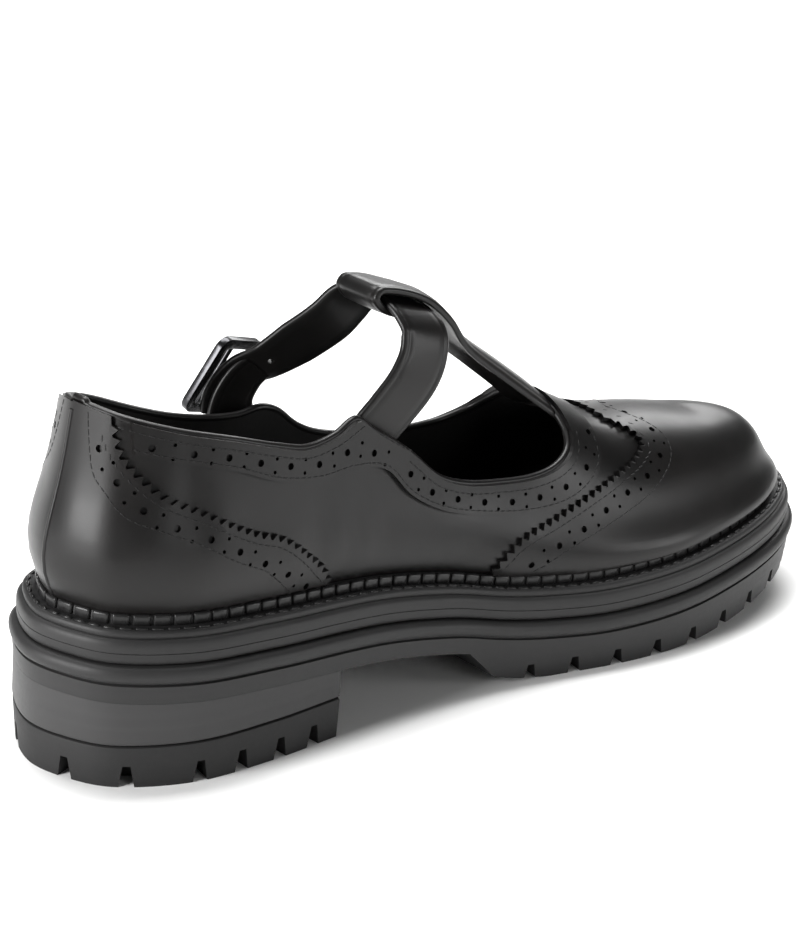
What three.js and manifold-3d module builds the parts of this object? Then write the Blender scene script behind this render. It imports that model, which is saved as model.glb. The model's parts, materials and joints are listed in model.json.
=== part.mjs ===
// Left T-bar brogue shoe on a thick lugged sole, in millimetres, toe towards +X and outer side towards +Y.
import * as THREE from "three";
import Module from "manifold-3d";

const wasm = await Module();
wasm.setup();

// Main sizes
const soleLength = 290;
const ballWidth = 96;
const collarHeight = 106;
const heelLength = 83;
const fitGap = 0.3;

// Rubber sole
const beadLineHeight = 31.8;
const beadHeight = 5.2;
const soleWall = 5.7;
const midsoleTop = 12.6;
const heelTreadHeight = 12.4;
const toeSpring = 9.9;
const treadStart = 133;
const treadBevel = 10;
const treadBevelRise = 3.2;
const notchFootWidth = 4.4;
const notchTopWidth = 2.2;
const notchDepth = 9;
const heelNotchHeight = 6.5;
const foreNotchHeight = 5.2;
const foreNotchStart = 155;
const foreNotchPitch = 15.3;

// Welt and insole
const weltInset = 3.9;
const weltThickness = 2.2;
const ribInset = 8.1;
const ribHeight = 5.4;
const footInset = 11.5;
const insoleThickness = 2.4;

// Upper
const wall = 1.8;
const overlay = 1.1;
const strapThickness = 2.2;
const barThickness = 2.2;

// Buckle
const frameLength = 26;
const frameWidth = 22;
const frameBar = 3.2;
const frameThickness = 2.2;
const frameCorner = 4;
const prongRadius = 0.9;

// Plan outline of the sole at its bead: half widths as shares of the ball width
const outlineRows = [
  { along: 0.013, medial: 0.146, lateral: 0.152 },
  { along: 0.039, medial: 0.263, lateral: 0.268 },
  { along: 0.111, medial: 0.371, lateral: 0.372 },
  { along: 0.203, medial: 0.386, lateral: 0.388 },
  { along: 0.294, medial: 0.364, lateral: 0.388 },
  { along: 0.382, medial: 0.349, lateral: 0.408 },
  { along: 0.471, medial: 0.358, lateral: 0.450 },
  { along: 0.556, medial: 0.400, lateral: 0.494 },
  { along: 0.641, medial: 0.452, lateral: 0.522 },
  { along: 0.725, medial: 0.474, lateral: 0.522 },
  { along: 0.794, medial: 0.455, lateral: 0.478 },
  { along: 0.859, medial: 0.412, lateral: 0.405 },
  { along: 0.918, medial: 0.345, lateral: 0.302 },
  { along: 0.964, medial: 0.255, lateral: 0.185 },
  { along: 0.990, medial: 0.150, lateral: 0.070 },
];
const toeDrift = -0.04;

// Height of the line under the bead, as a share of its height at the heel, and the toe's lift
const profileRows = [
  { along: 0.00, line: 1.000, lift: 0 },
  { along: 0.16, line: 0.933, lift: 0 },
  { along: 0.27, line: 0.853, lift: 0 },
  { along: 0.35, line: 0.777, lift: 0 },
  { along: 0.44, line: 0.632, lift: 0 },
  { along: 0.50, line: 0.500, lift: 0 },
  { along: 0.55, line: 0.428, lift: 0 },
  { along: 0.61, line: 0.386, lift: 0 },
  { along: 0.67, line: 0.390, lift: 0 },
  { along: 0.74, line: 0.425, lift: 0.06 },
  { along: 0.82, line: 0.488, lift: 0.28 },
  { along: 0.91, line: 0.560, lift: 0.66 },
  { along: 1.00, line: 0.670, lift: 1.00 },
];

// Upper: crest as a share of the collar's height, section power, and swell as a share of the ball width
const lastRows = [
  { along: 0.02, crest: 1.415, power: 2.00, swell: 0.054 },
  { along: 0.12, crest: 1.415, power: 2.20, swell: 0.052 },
  { along: 0.21, crest: 1.387, power: 2.50, swell: 0.040 },
  { along: 0.29, crest: 1.310, power: 2.60, swell: 0.038 },
  { along: 0.38, crest: 1.170, power: 2.50, swell: 0.040 },
  { along: 0.45, crest: 1.060, power: 2.40, swell: 0.042 },
  { along: 0.51, crest: 0.945, power: 2.30, swell: 0.044 },
  { along: 0.57, crest: 0.830, power: 2.20, swell: 0.044 },
  { along: 0.64, crest: 0.700, power: 2.10, swell: 0.044 },
  { along: 0.72, crest: 0.620, power: 2.15, swell: 0.046 },
  { along: 0.80, crest: 0.592, power: 2.30, swell: 0.044 },
  { along: 0.86, crest: 0.556, power: 2.50, swell: 0.044 },
  { along: 0.97, crest: 0.552, power: 2.60, swell: 0.044 },
];
const spineBack = 36;
const spineFront = 246;

// Edge of the opening on either side, from the back of the collar to the front of the throat
const toplineRows = [
  { along: 0.040, medial: 0.995, lateral: 0.995 },
  { along: 0.070, medial: 0.965, lateral: 0.950 },
  { along: 0.107, medial: 0.934, lateral: 0.907 },
  { along: 0.172, medial: 0.885, lateral: 0.830 },
  { along: 0.224, medial: 0.840, lateral: 0.780 },
  { along: 0.262, medial: 0.814, lateral: 0.757 },
  { along: 0.300, medial: 0.825, lateral: 0.748 },
  { along: 0.328, medial: 0.852, lateral: 0.757 },
  { along: 0.348, medial: 0.812, lateral: 0.738 },
  { along: 0.375, medial: 0.765, lateral: 0.680 },
  { along: 0.400, medial: 0.715, lateral: 0.642 },
  { along: 0.435, medial: 0.632, lateral: 0.610 },
  { along: 0.470, medial: 0.594, lateral: 0.590 },
  { along: 0.517, medial: 0.575, lateral: 0.572 },
  { along: 0.560, medial: 0.570, lateral: 0.566 },
  { along: 0.592, medial: 0.585, lateral: 0.578 },
  { along: 0.616, medial: 0.620, lateral: 0.615 },
  { along: 0.624, medial: 0.660, lateral: 0.655 },
];
const throatFront = 0.626;

// Pinked upper edge of the counter, from the collar down to the welt
const counterRows = [
  { along: 0.066, height: 1.050 },
  { along: 0.062, height: 0.915 },
  { along: 0.066, height: 0.858 },
  { along: 0.090, height: 0.774 },
  { along: 0.134, height: 0.708 },
  { along: 0.186, height: 0.632 },
  { along: 0.221, height: 0.594 },
  { along: 0.248, height: 0.538 },
  { along: 0.279, height: 0.453 },
  { along: 0.300, height: 0.300 },
];

// Pinked rear edge of the wing cap, from the welt up to the centre line
const wingRows = [
  { along: 0.480, height: 0.200 },
  { along: 0.503, height: 0.340 },
  { along: 0.524, height: 0.396 },
  { along: 0.590, height: 0.453 },
  { along: 0.672, height: 0.519 },
  { along: 0.712, height: 0.550 },
  { along: 0.731, height: 0.576 },
  { along: 0.730, height: 0.596 },
  { along: 0.717, height: 0.622 },
  { along: 0.703, height: 0.645 },
  { along: 0.702, height: 0.900 },
];

// Lower edge of the band round collar and throat, from the counter to the middle of the vamp
const bandRows = [
  { along: 0.083, medial: 0.874, lateral: 0.860 },
  { along: 0.169, medial: 0.811, lateral: 0.755 },
  { along: 0.221, medial: 0.755, lateral: 0.705 },
  { along: 0.276, medial: 0.726, lateral: 0.670 },
  { along: 0.324, medial: 0.726, lateral: 0.655 },
  { along: 0.362, medial: 0.700, lateral: 0.610 },
  { along: 0.393, medial: 0.613, lateral: 0.570 },
  { along: 0.434, medial: 0.547, lateral: 0.530 },
  { along: 0.497, medial: 0.500, lateral: 0.498 },
  { along: 0.555, medial: 0.481, lateral: 0.481 },
  { along: 0.600, medial: 0.490, lateral: 0.490 },
  { along: 0.634, medial: 0.528, lateral: 0.528 },
  { along: 0.655, medial: 0.580, lateral: 0.580 },
  { along: 0.662, medial: 0.640, lateral: 0.640 },
  { along: 0.662, medial: 0.900, lateral: 0.900 },
];

// The T-bar's top line with its half width and the drop of its edges, and its fold round the ankle strap
const barRows = [
  { along: 0.659, height: 0.682, half: 0.150, drop: 0.030 },
  { along: 0.637, height: 0.717, half: 0.128, drop: 0.038 },
  { along: 0.607, height: 0.778, half: 0.108, drop: 0.038 },
  { along: 0.566, height: 0.858, half: 0.100, drop: 0.036 },
  { along: 0.511, height: 0.966, half: 0.098, drop: 0.030 },
  { along: 0.486, height: 1.045, half: 0.098, drop: 0.022 },
  { along: 0.458, height: 1.117, half: 0.098, drop: 0.014 },
  { along: 0.434, height: 1.152, half: 0.098, drop: 0.006 },
  { along: 0.404, height: 1.174, half: 0.098, drop: 0 },
  { along: 0.380, height: 1.178, half: 0.098, drop: 0 },
  { along: 0.371, height: 1.145, half: 0.098, drop: 0 },
  { along: 0.381, height: 1.086, half: 0.098, drop: 0 },
  { along: 0.408, height: 1.050, half: 0.098, drop: 0 },
  { along: 0.444, height: 1.010, half: 0.098, drop: 0 },
  { along: 0.462, height: 0.984, half: 0.098, drop: 0 },
];

// Middle of the ankle strap from the inner quarter to the buckle: across is a share of the ball width
const strapRows = [
  { along: 0.352, across: -0.158, height: 0.735, half: 0.094, tilt: 28 },
  { along: 0.364, across: -0.168, height: 0.792, half: 0.094, tilt: 26 },
  { along: 0.380, across: -0.182, height: 0.846, half: 0.094, tilt: 24 },
  { along: 0.402, across: -0.190, height: 0.915, half: 0.094, tilt: 22 },
  { along: 0.417, across: -0.180, height: 0.975, half: 0.094, tilt: 20 },
  { along: 0.423, across: -0.160, height: 1.035, half: 0.094, tilt: 18 },
  { along: 0.422, across: -0.132, height: 1.066, half: 0.092, tilt: 17 },
  { along: 0.420, across: -0.085, height: 1.092, half: 0.092, tilt: 16 },
  { along: 0.417, across: 0.000, height: 1.106, half: 0.092, tilt: 16 },
  { along: 0.415, across: 0.085, height: 1.094, half: 0.092, tilt: 19 },
  { along: 0.405, across: 0.125, height: 1.070, half: 0.094, tilt: 28 },
  { along: 0.388, across: 0.165, height: 1.005, half: 0.094, tilt: 38 },
  { along: 0.363, across: 0.222, height: 0.938, half: 0.090, tilt: 42 },
  { along: 0.338, across: 0.278, height: 0.880, half: 0.074, tilt: 42 },
  { along: 0.322, across: 0.318, height: 0.853, half: 0.072, tilt: 34 },
  { along: 0.310, across: 0.344, height: 0.816, half: 0.070, tilt: 24 },
  { along: 0.302, across: 0.361, height: 0.768, half: 0.066, tilt: 18 },
  { along: 0.298, across: 0.368, height: 0.722, half: 0.056, tilt: 16 },
];

// Short strap that carries the buckle, rising from the outer quarter
const chapeRows = [
  { along: 0.310, across: 0.346, height: 0.640, half: 0.094, tilt: 0 },
  { along: 0.310, across: 0.340, height: 0.700, half: 0.094, tilt: 4 },
  { along: 0.310, across: 0.331, height: 0.760, half: 0.090, tilt: 10 },
  { along: 0.314, across: 0.306, height: 0.805, half: 0.082, tilt: 20 },
  { along: 0.321, across: 0.278, height: 0.832, half: 0.074, tilt: 30 },
];

// Middle of the buckle frame, the way its long side runs and the way its face looks
const buckleAt = { along: 0.308, across: 0.376, height: 0.828 };
const buckleLength = new THREE.Vector3(-0.38, 0.29, -0.88);
const buckleFace = new THREE.Vector3(-0.20, 0.90, 0.38);

// A smooth function of the share along the shoe, through one column of a table
function column(rows, key) {
  const slopes = rows.map((row, i) => {
    const before = rows[Math.max(i - 1, 0)];
    const after = rows[Math.min(i + 1, rows.length - 1)];
    return (after[key] - before[key]) / (after.along - before.along);
  });
  return (share) => {
    const clamped = THREE.MathUtils.clamp(share, rows[0].along, rows.at(-1).along);
    let i = 0;
    while (i < rows.length - 2 && clamped > rows[i + 1].along) i += 1;
    const span = rows[i + 1].along - rows[i].along;
    const t = (clamped - rows[i].along) / span;
    const start = (1 + 2 * t) * (1 - t) ** 2 * rows[i][key];
    const end = t * t * (3 - 2 * t) * rows[i + 1][key];
    const bend = t * (1 - t) ** 2 * slopes[i] * span - t * t * (1 - t) * slopes[i + 1] * span;
    return start + end + bend;
  };
}

const lineShare = column(profileRows, "line");
const liftShare = column(profileRows, "lift");
const lineHeight = (x) => beadLineHeight * lineShare(x / soleLength);
const groundHeight = (x) => toeSpring * Math.max(liftShare(x / soleLength), 0);
const aboveLine = (rise) => (x) => lineHeight(x) + rise;
const aboveMidsole = (rise) => aboveLine(midsoleTop + rise);

const outlinePoint = (row, across) => new THREE.Vector3(row.along * soleLength, across * ballWidth, 0);
const medialSide = outlineRows.map((row) => outlinePoint(row, -row.medial));
const lateralSide = outlineRows.map((row) => outlinePoint(row, row.lateral));
const outline = new THREE.CatmullRomCurve3(
  [
    new THREE.Vector3(0, 0, 0),
    ...medialSide,
    new THREE.Vector3(soleLength, toeDrift * ballWidth, 0),
    ...lateralSide.reverse(),
  ],
  true,
  "centripetal",
);

// Points round the outline, set in from the bead and lifted to a height that depends on x
function ring(inset, height, count) {
  return Array.from({ length: count }, (_, i) => {
    const point = outline.getPoint(i / count);
    const tangent = outline.getTangent(i / count);
    point.addScaledVector(new THREE.Vector3(-tangent.y, tangent.x, 0), inset);
    point.z = height(point.x);
    return point;
  });
}

// One closed solid from a list of triangles
function solid(triangles) {
  const keys = new Map();
  const vertices = [];
  const index = (point) => {
    const key = point.toArray().map((value) => Math.round(value * 1e4)).join();
    if (!keys.has(key)) {
      keys.set(key, vertices.length / 3);
      vertices.push(...point.toArray());
    }
    return keys.get(key);
  };
  const corners = triangles.map((triangle) => triangle.map(index));
  const kept = corners.filter(([a, b, c]) => a !== b && b !== c && c !== a);
  return new wasm.Manifold(
    new wasm.Mesh({
      numProp: 3,
      vertProperties: new Float32Array(vertices),
      triVerts: new Uint32Array(kept.flat()),
    }),
  );
}

function band(lower, upper) {
  return lower.flatMap((point, i) => {
    const next = (i + 1) % lower.length;
    return [
      [point, lower[next], upper[next]],
      [point, upper[next], upper[i]],
    ];
  });
}

// A cap whose triangles run across the shoe, from the inner side to the outer
function cap(points) {
  const count = points.length;
  return Array.from({ length: count / 2 }, (_, i) => {
    const outer = (count - i) % count;
    return [
      [points[i], points[i + 1], points[count - i - 1]],
      [points[i], points[count - i - 1], points[outer]],
    ];
  }).flat();
}

const flipped = (triangles) => triangles.map(([a, b, c]) => [a, c, b]);

function stack(rings) {
  const sides = rings.slice(1).flatMap((upper, i) => band(rings[i], upper));
  return solid([...flipped(cap(rings[0])), ...sides, ...cap(rings.at(-1))]);
}

function fromGeometry(geometry) {
  const flat = geometry.index ? geometry.toNonIndexed() : geometry;
  const position = flat.getAttribute("position");
  const corner = (i) => new THREE.Vector3().fromBufferAttribute(position, i);
  const count = position.count / 3;
  const triangle = (i) => [corner(3 * i), corner(3 * i + 1), corner(3 * i + 2)];
  return solid(Array.from({ length: count }, (_, i) => triangle(i)));
}

// A prism across the shoe, from a side view in x and z, between two values of y
function sidePrism(points, low, high) {
  const shape = new THREE.Shape(points.map(([x, z]) => new THREE.Vector2(x, z)));
  const geometry = new THREE.ExtrudeGeometry(shape, { depth: high - low, bevelEnabled: false });
  geometry.rotateX(Math.PI / 2);
  geometry.translate(0, high, 0);
  return fromGeometry(geometry);
}

const ringCount = 64;
const lastCount = 64;
const lastSteps = 9;
const farAway = 400;
const belowGround = 10;
const swellPeak = 223;
const toothPitch = 3.0;
const toothDepth = 1.1;

function soleRings(profile) {
  return profile.map(({ inset, height }) => ring(inset, height, ringCount));
}

// The last: each foot point rises to the spine along a swollen superellipse
const crestShare = column(lastRows, "crest");
const powerAt = column(lastRows, "power");
const swellShare = column(lastRows, "swell");

function footRing(count) {
  return ring(footInset, aboveMidsole(fitGap), count);
}

// One ring of the last per step from the welt up to the spine
function lastGrid(count, steps) {
  const foot = footRing(count);
  return Array.from({ length: steps + 1 }, (_, j) => {
    const angle = (j / steps) * (Math.PI / 2);
    return foot.map((point, i) => {
      const pair = foot[(count - i) % count];
      const spineX = THREE.MathUtils.clamp((point.x + pair.x) / 2, spineBack, spineFront);
      const share = point.x / soleLength;
      const crest = crestShare(spineX / soleLength) * collarHeight;
      const reach = Math.cos(angle) ** (2 / powerAt(share));
      const climb = Math.sin(angle) ** (2 / powerAt(share));
      const bulge = swellPeak * climb ** 2 * (1 - climb) ** 10 * swellShare(share) * ballWidth;
      const out = new THREE.Vector3(point.x - spineX, point.y, 0);
      const length = out.length();
      out.multiplyScalar((reach * length + bulge) / length);
      return new THREE.Vector3(spineX + out.x, out.y, point.z + (crest - point.z) * climb);
    });
  });
}

// The last's rings, grown outwards along their own normals
function grownGrid(count, steps, grow) {
  const grid = lastGrid(count, steps);
  return grid.map((row, j) => row.map((point, i) => {
    const above = grid[Math.min(j + 1, steps)][i];
    const below = grid[Math.max(j - 1, 0)][i];
    const ahead = row[(i + 1) % count];
    const behind = row[(i + count - 1) % count];
    const normal = ahead.clone().sub(behind).cross(above.clone().sub(below));
    if (j === steps) normal.set(0, 0, 1);
    return point.clone().addScaledVector(normal.normalize(), grow);
  }));
}

// The grown last as a closed form, carried down below its foot by a skirt
function lastForm(count, steps, grow, skirt) {
  const grown = grownGrid(count, steps, grow);
  const foot = grown[0].map((point) => new THREE.Vector3(point.x, point.y, point.z - skirt));
  return stack(skirt > 0 ? [foot, ...grown] : grown);
}

// Side view of a table: x and height, with extra corners that close the region
function sideLine(rows, key) {
  return rows.map((row) => [row.along * soleLength, row[key] * collarHeight]);
}

function sideCurve(points) {
  return new THREE.CatmullRomCurve3(points.map(([x, z]) => new THREE.Vector3(x, 0, z)), false, "centripetal");
}

// The same line cut into teeth
function pinked(points) {
  const path = sideCurve(points);
  const teeth = Math.round(path.getLength() / toothPitch);
  return Array.from({ length: 2 * teeth + 1 }, (_, i) => {
    const u = i / (2 * teeth);
    const point = path.getPointAt(u);
    const tangent = path.getTangentAt(u);
    const depth = (i % 2) * toothDepth;
    return [point.x - tangent.z * depth, point.z + tangent.x * depth];
  });
}

function smoothed(points, count) {
  const path = sideCurve(points);
  return path.getPoints(count).map((point) => [point.x, point.z]);
}

function openingSide(key, low, high) {
  const edge = smoothed(sideLine(toplineRows, key), 34);
  const front = throatFront * soleLength;
  const back = -farAway / 4;
  return sidePrism([[back, edge[0][1]], ...edge, [front, farAway], [back, farAway]], low, high);
}

const opening = openingSide("medial", -farAway, 0).add(openingSide("lateral", 0, farAway));

// Upper: outer form less the inner one, opened at collar and throat
const upper = lastForm(lastCount, lastSteps, 0, 0)
  .subtract(lastForm(48, 8, -wall, wall * 3))
  .subtract(opening);

// Everything up to just above the welt's rib, which hides the overlays' lower edges
const weltRoom = stack([
  ring(0, () => 0, ringCount),
  ring(0, aboveMidsole(ribHeight + fitGap), ringCount),
]);

// Overlays: the skin between two grown forms, inside a region of the side view
function skin(region) {
  return lastForm(lastCount, lastSteps, fitGap + overlay, 0)
    .subtract(lastForm(lastCount, lastSteps, fitGap, overlay))
    .subtract(weltRoom)
    .intersect(region);
}

const counterEdge = sideLine(counterRows, "height");
const counterRegion = sidePrism(
  [[-farAway / 4, 0], [counterEdge.at(-1)[0], 0], ...pinked(counterEdge).reverse(), [-farAway / 4, farAway / 4]],
  -farAway,
  farAway,
);
const counter = skin(counterRegion).subtract(opening);

const wingEdge = sideLine(wingRows, "height");
const wingRegion = sidePrism(
  [...pinked(wingEdge), [farAway, farAway / 4], [farAway, 0], [wingEdge[0][0], 0]],
  -farAway,
  farAway,
);
const wingCap = skin(wingRegion);

function bandSide(key, low, high) {
  const edge = smoothed(sideLine(bandRows, key), 30);
  return sidePrism([...edge, [edge.at(-1)[0], farAway], [edge[0][0], farAway]], low, high);
}

const bandRegion = bandSide("medial", -farAway, 0).add(bandSide("lateral", 0, farAway));

// A strip swept through sections of a few corners each
function strip(sections) {
  const count = sections[0].length;
  const sides = sections.slice(1).flatMap((section, i) => band(sections[i], section));
  const fan = (points) => points.slice(1, -1).map((point, i) => [points[0], point, points[i + 2]]);
  return solid([...flipped(fan(sections[0])), ...sides, ...fan(sections.at(-1))]);
}

const barLine = new THREE.CatmullRomCurve3(
  barRows.map((row) => new THREE.Vector3(row.along * soleLength, 0, row.height * collarHeight)),
  false,
  "centripetal",
);
const barSteps = 28;
const tBar = strip(Array.from({ length: barSteps + 1 }, (_, i) => {
  const t = i / barSteps;
  const place = t * (barRows.length - 1);
  const first = Math.min(Math.floor(place), barRows.length - 2);
  const row = barRows[first];
  const next = barRows[first + 1];
  const blend = place - first;
  const half = THREE.MathUtils.lerp(row.half, next.half, blend) * ballWidth;
  const drop = THREE.MathUtils.lerp(row.drop, next.drop, blend) * collarHeight;
  const point = barLine.getPoint(t);
  const tangent = barLine.getTangent(t);
  const down = new THREE.Vector3(-tangent.z, 0, tangent.x);
  const corner = (side, depth) => point.clone()
    .addScaledVector(down, depth + Math.abs(side) * drop)
    .setY(side * half);
  const upperSide = [-1, 0, 1].map((side) => corner(side, 0));
  const lowerSide = [1, 0, -1].map((side) => corner(side, barThickness));
  return [...upperSide, ...lowerSide];
}));

// The T-bar and the band round collar and throat are one piece of leather
const vampGuard = sidePrism(
  [[throatFront * soleLength - 1, 0], [farAway, 0], [farAway, farAway], [throatFront * soleLength - 1, farAway]],
  -farAway,
  farAway,
);
const wingCapRoom = lastForm(lastCount, lastSteps, overlay * 4.6, 0).intersect(wingRegion);
const clearOfUpper = lastForm(lastCount, lastSteps, fitGap, 0).intersect(vampGuard);
const throatBand = skin(bandRegion)
  .subtract(opening)
  .add(tBar.subtract(clearOfUpper))
  .subtract(wingCapRoom);

// A flat strap swept along a table, with the width vector tilted down at the front
function strap(rows, thickness, steps) {
  const middle = new THREE.CatmullRomCurve3(
    rows.map((row) => new THREE.Vector3(
      row.along * soleLength,
      row.across * ballWidth,
      row.height * collarHeight,
    )),
    false,
    "centripetal",
  );
  return strip(Array.from({ length: steps + 1 }, (_, i) => {
    const place = (i / steps) * (rows.length - 1);
    const first = Math.min(Math.floor(place), rows.length - 2);
    const blend = place - first;
    const half = THREE.MathUtils.lerp(rows[first].half, rows[first + 1].half, blend) * ballWidth;
    const tilt = THREE.MathUtils.degToRad(THREE.MathUtils.lerp(rows[first].tilt, rows[first + 1].tilt, blend));
    const point = middle.getPoint(i / steps);
    const tangent = middle.getTangent(i / steps);
    const across = new THREE.Vector3(Math.cos(tilt), 0, -Math.sin(tilt));
    across.addScaledVector(tangent, -across.dot(tangent)).normalize();
    const outward = across.clone().cross(tangent);
    const corner = (side, lift) => point.clone()
      .addScaledVector(across, side * half)
      .addScaledVector(outward, lift * thickness / 2);
    return [corner(-1, 1), corner(1, 1), corner(1, -1), corner(-1, -1)];
  }));
}

const buckleCentre = new THREE.Vector3(
  buckleAt.along * soleLength,
  buckleAt.across * ballWidth,
  buckleAt.height * collarHeight,
);
const faceUp = buckleFace.clone().normalize();
const lengthWay = buckleLength.clone().addScaledVector(faceUp, -buckleLength.dot(faceUp)).normalize();
const widthWay = faceUp.clone().cross(lengthWay);
const buckleFrameMatrix = new THREE.Matrix4().makeBasis(lengthWay, widthWay, faceUp).setPosition(buckleCentre);

function roundedRectangle(length, width, corner) {
  const shape = new THREE.Shape();
  const x = length / 2 - corner;
  const y = width / 2 - corner;
  shape.absarc(x, y, corner, 0, Math.PI / 2);
  shape.absarc(-x, y, corner, Math.PI / 2, Math.PI);
  shape.absarc(-x, -y, corner, Math.PI, Math.PI * 1.5);
  shape.absarc(x, -y, corner, Math.PI * 1.5, Math.PI * 2);
  return shape;
}

function buckleFramePiece() {
  const shape = roundedRectangle(frameLength, frameWidth, frameCorner);
  shape.holes.push(roundedRectangle(frameLength - 2 * frameBar, frameWidth - 2 * frameBar, frameCorner - 2));
  const geometry = new THREE.ExtrudeGeometry(shape, { depth: frameThickness, bevelEnabled: false, curveSegments: 3 });
  geometry.translate(0, 0, -frameThickness / 2);
  geometry.applyMatrix4(buckleFrameMatrix);
  return fromGeometry(geometry);
}

// The prong lies over the frame's upper bar and hooks the bar at its lower end
function prongPiece(radius, length) {
  const geometry = new THREE.CylinderGeometry(radius, radius, length, 8);
  geometry.rotateZ(Math.PI / 2);
  geometry.translate(0, 0, frameThickness / 2 + prongRadius + fitGap);
  geometry.applyMatrix4(buckleFrameMatrix);
  return fromGeometry(geometry);
}

const buckleFrame = buckleFramePiece();
const prong = prongPiece(prongRadius, frameLength - frameBar);
const ankleStrap = strap(strapRows, strapThickness, 38)
  .subtract(prongPiece(prongRadius + fitGap, frameLength + 2 * fitGap));
const chape = strap(chapeRows, strapThickness, 6)
  .subtract(strap(strapRows, strapThickness + 2 * fitGap, 38));

// Rubber sole
const box = (x0, x1, z0, z1) => sidePrism([[x0, z0], [x1, z0], [x1, z1], [x0, z1]], -farAway, farAway);

// A slot across the edge of a lug, narrower at its top
function notch(u, height) {
  const point = outline.getPointAt(u);
  const tangent = outline.getTangentAt(u);
  const shape = new THREE.Shape([
    new THREE.Vector2(-notchFootWidth / 2, 0),
    new THREE.Vector2(-notchFootWidth / 2, -belowGround),
    new THREE.Vector2(notchFootWidth / 2, -belowGround),
    new THREE.Vector2(notchFootWidth / 2, 0),
    new THREE.Vector2(notchTopWidth / 2, height),
    new THREE.Vector2(-notchTopWidth / 2, height),
  ]);
  const geometry = new THREE.ExtrudeGeometry(shape, { depth: notchDepth * 2, bevelEnabled: false });
  geometry.translate(0, 0, -notchDepth);
  const inward = new THREE.Vector3(-tangent.y, tangent.x, 0);
  const basis = new THREE.Matrix4().makeBasis(
    new THREE.Vector3().crossVectors(new THREE.Vector3(0, 0, 1), inward),
    new THREE.Vector3(0, 0, 1),
    inward,
  );
  geometry.applyMatrix4(basis);
  geometry.translate(point.x, point.y, groundHeight(point.x));
  return fromGeometry(geometry);
}

const outlineLength = outline.getLength();

// Shares of the outline's length at which the inner or outer edge reaches a place along the shoe
function shareAt(along, outer) {
  const samples = 400;
  const shares = Array.from({ length: samples }, (_, i) => (outer ? 1 - i / samples / 2 : i / samples / 2));
  return shares.find((u) => outline.getPointAt(u).x >= along * soleLength);
}

const treadOuter = soleRings([
  { inset: 2.0, height: () => 0 },
  { inset: 1.3, height: aboveLine(-soleWall + 0.5) },
]);
const liftedRing = treadOuter[0].map((point) => new THREE.Vector3(point.x, point.y, groundHeight(point.x)));
const treadSide = [
  [treadStart - fitGap, farAway / 10],
  [treadStart, lineHeight(treadStart) - soleWall],
  [treadStart + treadBevel, treadBevelRise],
  [treadStart + treadBevel * 1.9, treadBevelRise * 0.38],
  [treadStart + treadBevel * 3, 0],
  [treadStart + treadBevel * 3, -belowGround],
  [farAway, -belowGround],
  [farAway, farAway / 10],
];
const foreTread = stack([liftedRing, treadOuter[1]]).intersect(sidePrism(treadSide, -farAway, farAway));

const foreStart = shareAt(foreNotchStart / soleLength, false);
const foreEnd = shareAt(foreNotchStart / soleLength, true);
const foreNotchCount = Math.round(((foreEnd - foreStart) * outlineLength) / foreNotchPitch);
const foreNotches = Array.from({ length: foreNotchCount + 1 }, (_, i) => {
  const u = foreStart + ((foreEnd - foreStart) * i) / foreNotchCount;
  return notch(u, foreNotchHeight);
});

const heelNotchPlaces = [0.011, 0.050, 0.118, 0.165, 0.212, 0.255];
const heelNotches = [false, true].flatMap((outer) => heelNotchPlaces.map((along) => {
  return notch(shareAt(along, outer), heelNotchHeight);
}));

const less = (body, cutters) => cutters.reduce((rest, cutter) => rest.subtract(cutter), body);

const outsole = less(stack(soleRings([
  { inset: 1.3, height: aboveLine(-soleWall) },
  { inset: 0.9, height: aboveLine(-0.5) },
  { inset: 1.5, height: aboveLine(0) },
  { inset: 0.9, height: aboveLine(0.5) },
  { inset: 0.1, height: aboveLine(1.7) },
  { inset: 0.1, height: aboveLine(3.2) },
  { inset: 0.9, height: aboveLine(4.6) },
  { inset: 2.8, height: aboveLine(beadHeight) },
])).add(foreTread), foreNotches);

const heelCut = box(-farAway, heelLength, -belowGround, farAway);
const heelBlock = stack(soleRings([
  { inset: 1.5, height: () => heelTreadHeight + fitGap },
  { inset: 1.0, height: () => heelTreadHeight + 1.2 },
  { inset: 1.3, height: aboveLine(-soleWall - fitGap) },
])).intersect(heelCut);
const heelTread = less(stack(soleRings([
  { inset: 1.9, height: () => 0 },
  { inset: 1.1, height: () => heelTreadHeight - 0.8 },
  { inset: 1.6, height: () => heelTreadHeight },
])).intersect(heelCut), heelNotches);

const midsole = stack(soleRings([
  { inset: 2.9, height: aboveLine(beadHeight + fitGap) },
  { inset: 2.2, height: aboveLine(midsoleTop * 0.52) },
  { inset: 2.1, height: aboveLine(midsoleTop * 0.81) },
  { inset: 2.6, height: aboveLine(midsoleTop * 0.945) },
  { inset: 3.6, height: aboveLine(midsoleTop) },
]));

// Where the grown last's facets cross a height above the midsole
function lastEdge(height) {
  const [foot, above] = grownGrid(lastCount, lastSteps, fitGap);
  return foot.map((point, i) => {
    const level = aboveMidsole(height)(point.x);
    return point.clone().lerp(above[i], (level - point.z) / (above[i].z - point.z));
  });
}

const weltProfile = [
  ring(weltInset, aboveMidsole(fitGap), ringCount),
  ring(weltInset, aboveMidsole(weltThickness), ringCount),
  ring(ribInset, aboveMidsole(weltThickness), ringCount),
  ring(ribInset + 0.2, aboveMidsole(ribHeight), ringCount),
  lastEdge(ribHeight),
  lastEdge(fitGap),
];
const welt = solid(weltProfile.flatMap((inner, i) => band(inner, weltProfile[(i + 1) % weltProfile.length])));

const insole = stack([
  ring(footInset + wall + fitGap * 2, aboveMidsole(fitGap), lastCount),
  ring(footInset + wall + fitGap * 2, aboveMidsole(fitGap + insoleThickness), lastCount),
]);

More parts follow.
